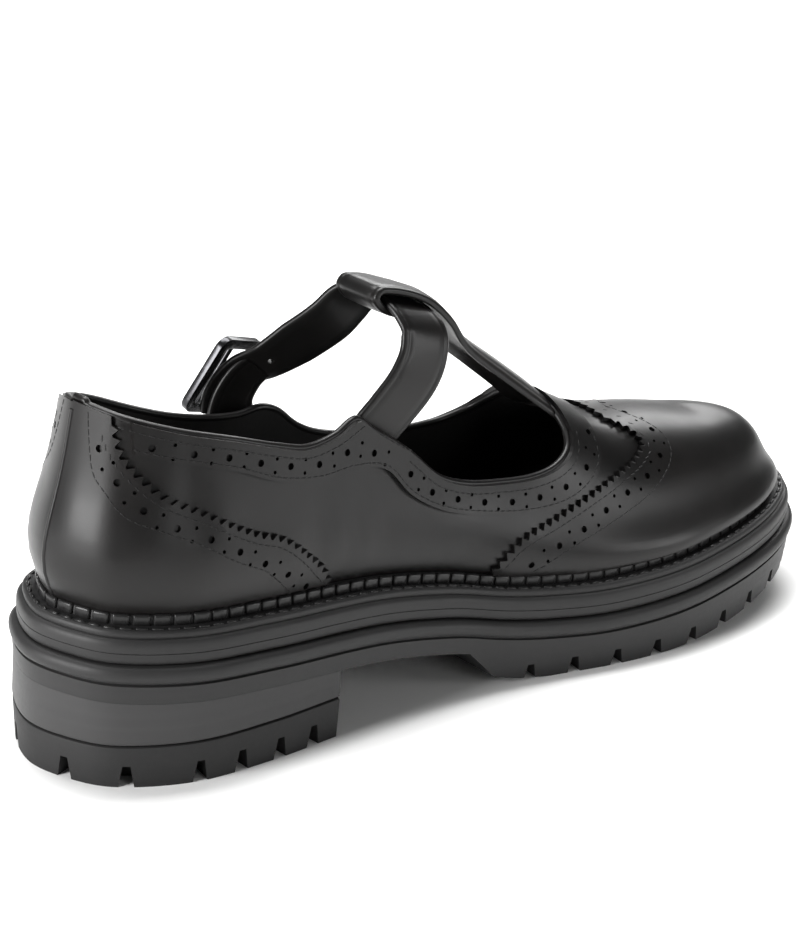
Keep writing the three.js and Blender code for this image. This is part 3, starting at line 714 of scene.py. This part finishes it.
# the rows of holes: x and height in side view, or x, distance from the middle and height
sideRows = {
    "counter": [(15, 11, 94), (17, 17, 86), (23, 23, 78), (31, 27, 73), (42, 30, 68), (53, 30, 61),
                (65, 28, 54), (74, 27, 47)],
    "wing": [(157, 30, 36), (167, 31, 40), (178, 32, 44), (188, 31, 48), (198, 29, 51), (208, 27, 54),
             (216, 22, 57), (219, 15, 61), (217, 7, 63), (214, 0, 64)],
    "throat": [(114, 71), (122, 64), (135, 59), (148, 56), (160, 55), (171, 56), (182, 60), (189, 68)],
    "collarMedial": [(26, 95), (49, 89.5), (64, 84.5), (80, 81.5), (94, 82.5), (105, 77.5)],
    "collarLateral": [(26, 92), (49, 84), (64, 78), (80, 75), (94, 74), (105, 69.5)],
}


def rod(spot, way, radius, depth, sides):  # a punch with its middle at spot, in mm
    bpy.ops.mesh.primitive_cylinder_add(vertices=sides, radius=radius / 1000, depth=depth / 1000,
                                        location=spot, rotation=way.to_track_quat("Z", "Y").to_euler())
    return bpy.context.object


def rodsJoined(rods):
    cutter = joined(rods)
    bpy.ops.object.transform_apply(location=True, rotation=True, scale=True)
    return cutter


def punches(rows):
    cutters = []
    for points, side in rows:
        flat = len(points[0]) == 2
        line = evenPath([(p[0], 0 if flat else p[1], p[-1]) for p in points], punching["pitch"] / 2)
        for i, (x, y, z) in enumerate(line):
            if side > 0 and not flat and y < 2:
                continue
            spot, normal = onSurface(x, z, side, None if flat else y)
            ahead = line[min(i + 1, len(line) - 1)] - line[max(i - 1, 0)]
            out = normal.cross(Vector((ahead[0], ahead[1] * side, ahead[2]))).normalized()
            if i % 2 == 0:
                cutters.append((spot, normal, punching["large"]))
            else:
                for aside in (-1, 1):
                    cutters.append((spot + out * aside * punching["spread"] / 1000, normal, punching["small"]))
    return rodsJoined([rod(spot, normal, radius, 2 * punching["depth"], 14)
                       for spot, normal, radius in cutters])


def bothSides(key):
    return [(sideRows[key], -1), (sideRows[key], 1)]


combine(counter, punches(bothSides("counter")), "DIFFERENCE")
combine(wingCap, punches(bothSides("wing")), "DIFFERENCE")
combine(throatBand, punches(bothSides("throat")), "DIFFERENCE", crossing=True)
collarRows = [(sideRows["collarMedial"], -1), (sideRows["collarLateral"], 1)]
combine(throatBand, punches(collarRows), "DIFFERENCE")
for piece, node in ((counter, "counter"), (wingCap, "wing_cap")):
    finishPiece(piece, overlayLeather, leatherSlot, 35, node)

print("straps")
barTable = {
    "along": [0.659, 0.637, 0.607, 0.566, 0.511, 0.486, 0.458, 0.434, 0.404, 0.382, 0.375, 0.385, 0.410,
              0.444, 0.462],
    "height": [0.682, 0.717, 0.778, 0.858, 0.966, 1.045, 1.105, 1.134, 1.156, 1.161, 1.134, 1.095, 1.064,
               1.028, 1.000],
    "half": [0.150, 0.128, 0.108, 0.100, 0.098, 0.098, 0.098, 0.098, 0.098, 0.098, 0.098, 0.098, 0.098,
             0.098, 0.098],
    "drop": [0.030, 0.038, 0.038, 0.036, 0.030, 0.022, 0.014, 0.006, 0, 0, 0, 0, 0, 0, 0],
}
strapTable = {
    "along": [0.352, 0.364, 0.380, 0.402, 0.417, 0.423, 0.422, 0.420, 0.417, 0.415, 0.405, 0.388, 0.363,
              0.338, 0.322, 0.310, 0.302, 0.298],
    "across": [-0.158, -0.168, -0.182, -0.190, -0.180, -0.160, -0.132, -0.085, 0, 0.085, 0.125, 0.165,
               0.222, 0.278, 0.318, 0.344, 0.361, 0.368],
    "height": [0.735, 0.792, 0.846, 0.915, 0.975, 1.035, 1.066, 1.092, 1.106, 1.094, 1.070, 1.005, 0.938,
               0.880, 0.853, 0.816, 0.768, 0.722],
    "half": [0.094, 0.094, 0.094, 0.094, 0.094, 0.094, 0.092, 0.092, 0.092, 0.092, 0.094, 0.094, 0.090,
             0.074, 0.072, 0.070, 0.066, 0.056],
    "tilt": [28, 26, 24, 22, 20, 18, 17, 16, 16, 19, 28, 38, 42, 42, 34, 24, 18, 16],
}
chapeTable = {
    "along": [0.310, 0.310, 0.311, 0.320, 0.331],
    "across": [0.346, 0.340, 0.335, 0.316, 0.294],
    "height": [0.640, 0.700, 0.766, 0.828, 0.866],
    "half": [0.094, 0.090, 0.078, 0.070, 0.062],
    "tilt": [0, 4, 14, 30, 38],
}


def rowAt(table, key, place):
    first = min(int(place), len(table["along"]) - 2)
    return table[key][first] + (table[key][first + 1] - table[key][first]) * (place - first)


# half of a strap's section in mm: from its middle to its edge, rounded, with a crease beside the edge
strapSection = {"thickness": 2.2, "crease": 2.2, "creaseDepth": 0.16, "round": 0.8}


def sectionPoints(half):
    t, r, c = strapSection["thickness"] / 2, strapSection["round"], strapSection["crease"]
    top = [(0, t + 0.10), (half * 0.5, t + 0.08), (half - c - 0.45, t + 0.02),
           (half - c, t - strapSection["creaseDepth"]), (half - c + 0.45, t), (half - r, t - 0.02),
           (half - r * 0.3, t * 0.72), (half, t * 0.25)]
    low = [(half, -t * 0.25), (half - r * 0.3, -t * 0.72), (half - r, -t), (half * 0.5, -t), (0, -t)]
    right = top + low
    return right + [(-a, b) for a, b in reversed(right[1:-1])]


def strapPath(table):
    return smoothCurve([(a * soleLength, c * ballWidth, h * collarHeight)
                        for a, c, h in zip(table["along"], table["across"], table["height"])])


def strapPiece(name, table, steps):
    path = strapPath(table)
    rings = []
    for i in range(steps + 1):
        t = i / steps
        place = t * (len(table["along"]) - 1)
        half = rowAt(table, "half", place) * ballWidth
        tilt = math.radians(rowAt(table, "tilt", place))
        way = tangent(path, t)
        wide = np.array([math.cos(tilt), 0, -math.sin(tilt)])
        wide -= way * wide.dot(way)
        wide /= np.linalg.norm(wide)
        out = np.cross(wide, way)
        rings.append(np.array([path(t) + wide * a + out * b for a, b in sectionPoints(half)]))
    return sweepRings(name, rings, closing=toCentre)


ankleStrap = strapPiece("ankle_strap_leather", strapTable, 120)
strapHoles = {"rows": [12.85, 13.7], "radius": 0.95, "depth": 8}   # places along the table's rows, and mm
holePath = strapPath(strapTable)
holeRods = []
for place in strapHoles["rows"]:
    t = place / (len(strapTable["along"]) - 1)
    tilt = math.radians(rowAt(strapTable, "tilt", place))
    out = Vector(np.cross((math.cos(tilt), 0, -math.sin(tilt)), tangent(holePath, t)))
    holeRods.append(rod(toFrame([holePath(t)])[0], out, strapHoles["radius"], strapHoles["depth"], 20))
combine(ankleStrap, rodsJoined(holeRods), "DIFFERENCE")
finishPiece(ankleStrap, strapLeather, leatherSlot, 55, "ankle_strap")
chape = strapPiece("buckle_strap_leather", chapeTable, 24)
finishPiece(chape, strapLeather, leatherSlot, 55, "buckle_strap")


def barPiece(name, table, steps):
    path = smoothCurve([(a * soleLength, 0, h * collarHeight) for a, h in zip(table["along"], table["height"])])
    rings = []
    for i in range(steps + 1):
        t = i / steps
        place = t * (len(table["along"]) - 1)
        half = rowAt(table, "half", place) * ballWidth
        drop = rowAt(table, "drop", place) * collarHeight
        way = tangent(path, t)
        down = np.array([-way[2], 0, way[0]])
        deep = strapSection["thickness"] / 2
        rings.append(np.array([path(t) + down * (deep - b + drop * (abs(a) / half) ** 1.6) + np.array([0, a, 0])
                               for a, b in sectionPoints(half)]))
    return sweepRings(name, rings, closing=toCentre)


tBar = barPiece("t_bar_leather", barTable, 120)
finishPiece(throatBand, overlayLeather, leatherSlot, 35, "throat_band")
finishPiece(tBar, strapLeather, leatherSlot, 55, "throat_band")

print("sole")
soleDetail = {
    "count": 320,        # points round the outline
    "search": 3200,      # finer steps, to walk along it
    "treadStart": 133,   # mm, where the fore tread leaves the waist
    "notchStart": 155,
}


def soleRings(profile):
    return [ring(inset, aboveLine(rise), soleDetail["count"]) for inset, rise in profile]


def heelRoom():  # all behind the heel's front face
    front = shoe["heelLength"]
    return sidePrism("heelRoom", [(-50, -10), (front, -10), (front, 90), (-50, 90)], -halfWidth, halfWidth)


def shareAt(x, outer):  # where the outline reaches x, as a share of its way round
    for i in range(soleDetail["search"] // 2):
        u = 1 - i / soleDetail["search"] if outer else i / soleDetail["search"]
        if outline(u % 1)[0] >= x:
            return u
    return 0.5


notchSize = {"bottom": 2.3, "top": 1.1, "deep": 9, "fore": 5.2, "heel": 6.5, "pitch": 15.3}


def notches(shares, height):
    pieces = []
    for u in shares:
        spot, way = outline(u % 1), tangent(outline, u % 1, closed=True)
        bpy.ops.mesh.primitive_cube_add(size=1)
        cutter = bpy.context.object
        low = Vector((spot[0], spot[1], groundHeight(spot[0])))
        inward = Vector((-way[1], way[0], 0))
        for vertex in cutter.data.vertices:
            a, b, c = vertex.co
            wide = notchSize["top"] if c > 0 else notchSize["bottom"]
            point = low + Vector(way) * (a * 2 * wide) + inward * (b * 2 * notchSize["deep"])
            point.z += height if c > 0 else -0.5
            vertex.co = toFrame([point])[0]
        pieces.append(cutter)
    cutter = joined(pieces)
    facesOutward(cutter)
    return cutter


outsole = sweepRings("outsole_rubber", soleRings([
    (1.3, -shoe["soleWall"]), (1.0, -2.0), (0.9, -0.45), (1.25, -0.28), (1.75, -0.18), (1.75, 0.18),
    (1.2, 0.34), (0.6, 0.7), (0.25, 1.2), (0.08, 1.8), (0.0, 2.5), (0.1, 3.3), (0.4, 4.0), (0.9, 4.6),
    (1.7, 5.05), (2.8, shoe["beadHeight"])]))
soleCount = soleDetail["count"]
foreTread = sweepRings("foreTread", [ring(2.0, groundHeight, soleCount), ring(1.3, aboveLine(-5.2), soleCount)])
start = soleDetail["treadStart"]
treadSide = [(start - 0.3, 40), (start, lineHeight(start) - shoe["soleWall"]), (start + 10, 3.2),
             (start + 19, 1.2), (start + 30, 0), (start + 30, -10), (400, -10), (400, 40)]
combine(foreTread, sidePrism("treadSide", treadSide, -halfWidth, halfWidth), "INTERSECT")
combine(outsole, foreTread, "UNION")

outlineShares = np.linspace(0, 1, soleDetail["search"] + 1)
outlineSteps = np.array([outline(share) for share in outlineShares])
outlineWay = lengthAlong(outlineSteps)
firstWay, lastWay = [np.interp(shareAt(soleDetail["notchStart"], outer), outlineShares, outlineWay)
                     for outer in (False, True)]
notchCount = int(round((lastWay - firstWay) / notchSize["pitch"]))
foreShares = [np.interp(firstWay + (lastWay - firstWay) * i / notchCount, outlineWay, outlineShares)
              for i in range(notchCount + 1)]
combine(outsole, notches(foreShares, notchSize["fore"]), "DIFFERENCE")

heelTop = shoe["heelTread"]
heelBlock = sweepRings("heel_block_rubber", [
    ring(1.7, level(heelTop + 0.3), soleCount), ring(1.2, level(heelTop + 0.7), soleCount),
    ring(1.0, level(heelTop + 1.4), soleCount), ring(1.3, aboveLine(-5.75), soleCount)])
combine(heelBlock, heelRoom(), "INTERSECT")
heelTread = sweepRings("heel_tread_rubber", [
    ring(1.9, level(0), soleCount), ring(1.15, level(heelTop - 0.8), soleCount),
    ring(1.3, level(heelTop - 0.3), soleCount), ring(1.8, level(heelTop), soleCount)])
combine(heelTread, heelRoom(), "INTERSECT")
heelShares = [shareAt(s * soleLength, outer) for outer in (False, True)
              for s in (0.011, 0.050, 0.118, 0.165, 0.212, 0.255)]
combine(heelTread, notches(heelShares, notchSize["heel"]), "DIFFERENCE")
midsole = sweepRings("midsole_rubber", soleRings([
    (3.4, 5.3), (2.6, 5.6), (2.25, 6.1), (2.15, 6.9), (2.1, 8.0), (2.1, 8.55), (2.28, 8.7), (2.1, 8.85),
    (2.1, 10.0), (2.15, 10.7), (2.32, 11.4), (2.65, 12.0), (3.1, 12.4), (3.7, shoe["midsoleTop"])]))
for piece, node, material in ((outsole, "outsole", rubberWall), (heelBlock, "heel_block", rubberHeel),
                              (heelTread, "heel_tread", rubberTread), (midsole, "midsole", rubberWall)):
    finishPiece(piece, material, rubberSlot, 35, node)

print("welt")
weltDetail = {
    "blockPitch": 5.6,
    "blockLength": 4.8,
    "blockHeight": 3.2,
    "blockDepth": 1.5,
    "stitchPitch": 4.4,
    "stitchLength": 3.3,
    "stitchRadius": 0.62,
}
outerWall = lastRings(0.1)


def wallEdge(rise):  # a ring on the upper's outside, at a height above the midsole
    made = []
    for i, point in enumerate(outerWall[0]):
        wall = outerWall[:, i]
        height = aboveMidsole(rise)(point[0])
        j = min(int(np.searchsorted(wall[:, 2], height)), len(wall) - 1)
        low, high = wall[max(j - 1, 0)], wall[j]
        made.append(low + (high - low) * np.clip((height - low[2]) / max(high[2] - low[2], 1e-6), 0, 1))
    return np.array(made)


weltEdge, rib = shoe["weltInset"], shoe["ribInset"]
weltSection = [
    (weltEdge, 0), (weltEdge - 0.15, 0.6), (weltEdge - 0.1, 1.5), (weltEdge + 0.5, 2.1),
    (weltEdge + 1.2, shoe["weltThickness"]),
    (rib - 0.7, 2.1), (rib, 2.3), (rib + 0.15, 4.4), (rib + 0.5, 5.0), (rib + 1.1, 5.2)]
weltRings = [ring(inset, aboveMidsole(rise), lastDetail["count"]) for inset, rise in weltSection]
welt = sweepRings("welt_rubber", [*weltRings, wallEdge(5.2), wallEdge(0.2)], joinEnds=True)
finishPiece(welt, rubberWall, rubberSlot, 50, "welt")


def scatter(name, base, places):  # one shape copied to many places, joined from arrays
    vertices = np.array([v.co for v in base.data.vertices])
    faces = [tuple(p.vertices) for p in base.data.polygons]
    allPoints, allFaces = [], []
    for k, place in enumerate(places):
        matrix = np.array(place)
        allPoints.append(vertices @ matrix[:3, :3].T + matrix[:3, 3])
        allFaces += [tuple(v + k * len(vertices) for v in f) for f in faces]
    mesh = bpy.data.meshes.new(name)
    mesh.from_pydata(np.concatenate(allPoints).tolist(), [], allFaces)
    piece = bpy.data.objects.new(name, mesh)
    bpy.context.scene.collection.objects.link(piece)
    bpy.data.objects.remove(base)
    return piece


def pillow(length, height, depth):
    bpy.ops.mesh.primitive_cube_add(size=1)
    base = bpy.context.object
    for vertex in base.data.vertices:
        vertex.co = (vertex.co.x * length / 1000, vertex.co.y * depth / 1000, vertex.co.z * height / 1000)
    applyModifier(base, "BEVEL", width=0.00075, segments=3, limit_method="NONE", profile=0.6)
    return base


def evenOutline(inset, rise, pitch):  # even places round the shoe, and the way along it at each
    base = ring(inset, aboveMidsole(rise), 640)
    loop = np.vstack([base, base[:1]])
    steps = lengthAlong(loop)
    count = int(round(steps[-1] / pitch))
    spots = np.arange(count) / count * steps[-1]

    def at(place):
        return np.stack([np.interp(np.mod(place, steps[-1]), steps, loop[:, k]) for k in range(3)], -1)
    return at(spots), at(spots + 0.5) - at(spots - 0.5)


def placed(point, way):
    along = Vector(way).normalized()
    side = Vector((0, 0, 1)).cross(along).normalized()
    turn = Matrix((along, side, along.cross(side))).transposed().to_4x4()
    return Matrix.Translation(Vector(toFrame([point])[0])) @ turn


points, ways = evenOutline(rib + 0.05, 3.75, weltDetail["blockPitch"])
block = pillow(weltDetail["blockLength"], weltDetail["blockHeight"], weltDetail["blockDepth"])
blocks = scatter("welt_rib_blocks", block, [placed(p, w) for p, w in zip(points, ways)])
finishPiece(blocks, rubberGloss, rubberSlot, 60)


def capsule(length, radius):  # a stitch, lying along x and a little flat
    bpy.ops.mesh.primitive_uv_sphere_add(segments=10, ring_count=6, radius=radius / 1000,
                                         rotation=(0, math.pi / 2, 0))
    base = bpy.context.object
    bpy.ops.object.transform_apply(rotation=True)
    stretch = (length / 2 - radius) / 1000
    for vertex in base.data.vertices:
        vertex.co.x += stretch if vertex.co.x > 1e-6 else (-stretch if vertex.co.x < -1e-6 else 0)
        vertex.co.z *= 0.75
    return base


points, ways = evenOutline(shoe["weltInset"] + 1.5, 2.25, weltDetail["stitchPitch"])
weltStitches = scatter("welt_stitches", capsule(weltDetail["stitchLength"], weltDetail["stitchRadius"]),
                       [placed(p, w) for p, w in zip(points, ways)])
finishPiece(weltStitches, rubberGloss, rubberSlot, 80)

print("stitches and pinked teeth")
stitching = {
    "pitch": 2.3,      # mm
    "length": 1.8,
    "radius": 0.21,
    "lift": -0.03,     # above the leather's face
    "fromEdge": 1.6,   # of the pinked edges
    "fromRim": 2.2,    # of the opening
}
pinking = {
    "pitch": 3.1,      # mm
    "depth": 1.9,
    "overlap": 0.4,    # of a tooth and its overlay
    "thickness": 1.3,
}


def onLeather(spot, normal, way):  # a matrix that lays a shape along way on the leather's face
    way = (way - normal * way.dot(normal)).normalized()
    return Matrix.Translation(spot) @ Matrix((way, normal.cross(way), normal)).transposed().to_4x4()


def stitchRow(points, side):
    flat = len(points[0]) == 2
    line = evenPath([(p[0], 0 if flat else p[1], p[-1]) for p in points], stitching["pitch"])
    made = []
    for i, (x, y, z) in enumerate(line):
        spot, normal = onSurface(x, z, side, None if flat else y)
        ahead = line[min(i + 1, len(line) - 1)] - line[max(i - 1, 0)]
        made.append(onLeather(spot + normal * stitching["lift"] / 1000, normal,
                              Vector((ahead[0], ahead[1] * side, ahead[2]))))
    return made


def shifted(points, distance):
    line = evenLine(points, 4.0)
    way = np.gradient(line, axis=0)
    way /= np.linalg.norm(way, axis=1, keepdims=True)
    return [(p[0] - w[1] * distance, p[1] + w[0] * distance) for p, w in zip(line, way)]


def tooth():
    bpy.ops.mesh.primitive_cylinder_add(vertices=3, radius=1, depth=1)
    base = bpy.context.object
    reach = pinking["depth"] + pinking["overlap"]
    for vertex in base.data.vertices:
        x, y, z = vertex.co
        vertex.co = (x / 0.866 * pinking["pitch"] / 2000, ((y + 0.5) / 1.5 * reach - pinking["overlap"]) / 1000,
                     (z - 0.5) * pinking["thickness"] / 1000)
    return base


def cutEdge(points, side, top):  # the overlay's cut edge on its face, up to a height
    found = []
    for x, z in evenLine(points, 0.25):
        if z > top:
            continue
        spot, _, _, _ = surfaceTree.ray_cast(Vector(toFrame([(x, side * 80, z)])[0]), Vector((0, -side, 0)))
        if spot is not None:
            found.append(np.array(spot))
    return found


def teethAlong(edge, outward):  # outward is the rough way that the teeth point
    edge = np.array(edge)
    along = lengthAlong(edge) * 1000
    count = int(along[-1] / pinking["pitch"])
    spots = (np.arange(count) + 0.5) / count * along[-1]

    def at(place):
        return Vector([np.interp(place, along, edge[:, k]) for k in range(3)])
    made = []
    for place in spots:
        spot, normal, _, _ = surfaceTree.find_nearest(at(place))
        way = at(place + 1.2) - at(place - 1.2)
        made.append(onLeather(spot, normal, way if normal.cross(way).dot(Vector(outward)) > 0 else -way))
    return made


def addTeeth(piece, places):
    teeth = scatter("teeth", tooth(), places)
    facesOutward(teeth)
    teeth.data.materials.append(overlayLeather)
    smoothShade(joined([piece, teeth]), 35)


counterSides = [cutEdge(counterEdge, side, 101) for side in (-1, 1)]
addTeeth(counter, teethAlong(counterSides[0], (1, 0, 1)) + teethAlong(counterSides[1], (1, 0, 1)))
wingSides = [cutEdge(wingEdge, side, 90) for side in (-1, 1)]
addTeeth(wingCap, teethAlong(wingSides[0] + wingSides[1][::-1], (-1, 0, 0.5)))

# the seams below the counter's holes and before the wing cap's, as x, distance from the middle and height
counterLow = [(15, 6, 102), (14, 8, 94), (13, 11, 87), (14, 15, 83), (18, 20, 77), (26, 25, 73), (35, 29, 69),
              (48, 30, 61), (58, 29, 56), (68, 27, 47)]
wingFront = [(159, 30, 34), (174, 33, 40), (193, 32, 45), (209, 29, 50), (220, 23, 56), (222, 17, 60),
             (219, 10, 63), (215, 5, 64), (213, 0.5, 65)]
rows = []
for side in (-1, 1):
    inward, below = -stitching["fromEdge"], -stitching["fromRim"]
    rows += stitchRow(counterLow, side) + stitchRow(shifted(counterEdge[1:-1], inward), side)
    rows += stitchRow(wingFront, side) + stitchRow(shifted(wingEdge[1:9], inward), side)
    key = "medial" if side < 0 else "lateral"
    rows += stitchRow(shifted(sideLine(bandTable, key)[:-1], 1.2), side)
    rows += stitchRow(shifted(sideLine(toplineTable, key)[1:8], below), side)
    rows += stitchRow(shifted(sideLine(toplineTable, key)[10:], below), side)
rows += stitchRow([(103.5, 84.5), (108, 81.5), (114, 78)], -1)   # across the foot of the strap
stitches = scatter("upper_stitches", capsule(stitching["length"], stitching["radius"]), rows)
finishPiece(stitches, sewingThread, leatherSlot, 80)

print("rolled edges and back seam")
edging = {"rim": 1.15, "seam": 1.0, "seamRise": 0.55, "seamTop": 102, "sides": 10}   # mm, and faces round


def tube(name, path, radius, closed=True):
    path = np.array(path)
    count, sides = len(path), edging["sides"]
    rings = []
    for k in range(count):
        ahead = path[(k + 1) % count] if closed else path[min(k + 1, count - 1)]
        before = path[k - 1] if closed else path[max(k - 1, 0)]
        way = (ahead - before) / np.linalg.norm(ahead - before)
        wide = np.cross(way, (0, 0, 1) if abs(way[2]) < 0.9 else (1, 0, 0))
        wide /= np.linalg.norm(wide)
        out = np.cross(way, wide)
        turns = np.arange(sides) / sides * 2 * math.pi
        rings.append(path[k] + radius * (np.outer(np.cos(turns), wide) + np.outer(np.sin(turns), out)))
    return sweepRings(name, rings, joinEnds=closed, closing=toCentre)


def fromFrame(spot):
    return np.array(spot) * 1000 + np.array([soleLength / 2, middle, 0])


def onWall(x, z, side):  # on the middle of the upper's wall
    start = Vector(toFrame([(x, side * 80, z)])[0])
    spot, _, _, _ = wallTree.ray_cast(start, Vector((0, -side, 0)))
    if spot is None:
        spot, _, _, _ = wallTree.find_nearest(Vector(toFrame([(x, side * 3, z)])[0]))
    return fromFrame(spot)


def between(first, last):  # twelve points from one to the other
    return [first + (last - first) * t for t in np.linspace(0, 1, 14)[1:-1]]


def drawnOn(points, away, way):  # each point dropped on the wall from a distance
    starts = [Vector(toFrame([point + np.array(away)])[0]) for point in points]
    return [fromFrame(wallTree.ray_cast(start, Vector(way))[0]) for start in starts]


def openingPath():
    near, far = [[onWall(x, z, side) for x, z in evenLine(sideLine(toplineTable, key), 1.5)]
                 for key, side in (("medial", -1), ("lateral", 1))]
    throat = drawnOn(between(near[-1], far[-1]), (0, 0, 60), (0, 0, -1))
    heel = drawnOn(between(far[0], near[0]), (-60, 0, 0), (1, 0, 0))
    return near + throat + far[::-1] + heel


rim = tube("collar_rolled_edge", openingPath(), edging["rim"])
finishPiece(rim, strapLeather, leatherSlot, 80)
seamPath = []
for z in np.linspace(lineHeight(5) + 17, edging["seamTop"], 46):
    spot, _, _, _ = surfaceTree.ray_cast(Vector(toFrame([(-60, 0, z)])[0]), Vector((1, 0, 0)))
    if spot is not None:
        seamPath.append(fromFrame(spot) + np.array([edging["seamRise"], 0, 0]))
backSeam = tube("back_seam", seamPath, edging["seam"], closed=False)
finishPiece(backSeam, upperLeather, leatherSlot, 80)

print("insole and buckle")
insoleInset = shoe["footInset"] + shoe["wall"] + 0.6
insole = sweepRings("insole_sock", [ring(insoleInset + inward, aboveMidsole(rise), 160)
                                    for inward, rise in ((0, 0.3), (0, 2.2), (0.5, 2.6), (6, 2.7))])
finishPiece(insole, liningLeather, leatherSlot, 50, "insole")


def copyNode(name, node):  # a merged copy of a solid, to be finished by hand
    piece = frame["nodes"][node].copy()
    piece.data = piece.data.copy()
    piece.parent = None
    piece.name = name
    piece.hide_render = False
    piece.hide_viewport = False
    for key in list(piece.keys()):
        if key.startswith("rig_"):
            del piece[key]
    bpy.context.scene.collection.objects.link(piece)
    pickOnly(piece)
    bpy.ops.object.mode_set(mode="EDIT")
    bpy.ops.mesh.select_all(action="SELECT")
    bpy.ops.mesh.remove_doubles(threshold=1e-5)
    bpy.ops.object.mode_set(mode="OBJECT")
    return piece


buckle = copyNode("buckle_frame_metal", "buckle_frame")
applyModifier(buckle, "BEVEL", width=0.0006, segments=3, limit_method="ANGLE", angle_limit=math.radians(50))
finishPiece(buckle, buckleMetal, metalSlot, 50, "buckle_frame")
prong = copyNode("buckle_prong_metal", "buckle_prong")
applyModifier(prong, "BEVEL", width=0.0003, segments=2, limit_method="ANGLE", angle_limit=math.radians(60))
finishPiece(prong, buckleMetal, metalSlot, 60, "buckle_prong")

print("camera, floor and light")
view = {"azimuth": -40.3, "elevation": 20.9, "roll": 3.26, "distance": 0.7934, "lens": 101.3,
        "target": (-0.01473, -0.00160, 0.06029)}
azimuth, elevation, roll = [math.radians(view[k]) for k in ("azimuth", "elevation", "roll")]
flatShare = math.cos(elevation)
back = Vector((math.sin(azimuth) * flatShare, -math.cos(azimuth) * flatShare, math.sin(elevation)))
right = Vector((math.cos(azimuth), math.sin(azimuth), 0))
up = back.cross(right)
camera = bpy.data.objects.new("camera", bpy.data.cameras.new("camera"))
bpy.context.scene.collection.objects.link(camera)
cameraX = right * math.cos(roll) + up * math.sin(roll)
cameraY = up * math.cos(roll) - right * math.sin(roll)
camera.matrix_world = Matrix.Translation(Vector(view["target"]) + back * view["distance"]) @ Matrix(
    (cameraX, cameraY, back)).transposed().to_4x4()
camera.data.lens = view["lens"]
camera.data.sensor_width = 36
camera.data.clip_start, camera.data.clip_end = 0.01, 50
bpy.context.scene.camera = camera

floorLook = Look("paleFloor", Roughness=0.85, Specular_IOR_Level=0.2)
floorLook.feed("Base Color", floorLook.mix(floorLook.noise(3, 2), (0.93, 0.93, 0.925), (0.90, 0.90, 0.895)))
bpy.ops.object.select_all(action="DESELECT")
bpy.ops.mesh.primitive_plane_add(size=14)
floor = bpy.context.object
floor.name = "floor"
floor.data.materials.append(floorLook.material)

world = bpy.data.worlds.new("studio")
bpy.context.scene.world = world
world.use_nodes = True
world.node_tree.nodes["Background"].inputs["Color"].default_value = (1, 1, 1, 1)
world.node_tree.nodes["Background"].inputs["Strength"].default_value = 0.08

lights = {  # soft boxes that face the shoe: place and size in metres, power in watts
    "overhead": {"at": (0.10, 0.30, 1.20), "size": (1.0, 0.6), "power": 26},
    "toeTop": {"at": (1.00, 0.78, 0.70), "size": (0.9, 0.5), "power": 10},
    "quarter": {"at": (0.88, -1.02, 0.30), "size": (0.5, 0.42), "power": 4.2},
    "strip": {"at": (-0.08, -1.35, 0.42), "size": (0.32, 0.7), "power": 2.2},
    "heelSide": {"at": (-1.28, 0.05, 0.46), "size": (0.45, 0.7), "power": 24},
}
for name, light in lights.items():
    data = bpy.data.lights.new(name, "AREA")
    data.shape = "RECTANGLE"
    data.size, data.size_y = light["size"]
    data.energy = light["power"]
    lamp = bpy.data.objects.new(name, data)
    bpy.context.scene.collection.objects.link(lamp)
    lamp.location = light["at"]
    lamp.rotation_euler = (Vector((0, 0, 0.06)) - Vector(light["at"])).to_track_quat("-Z", "Y").to_euler()
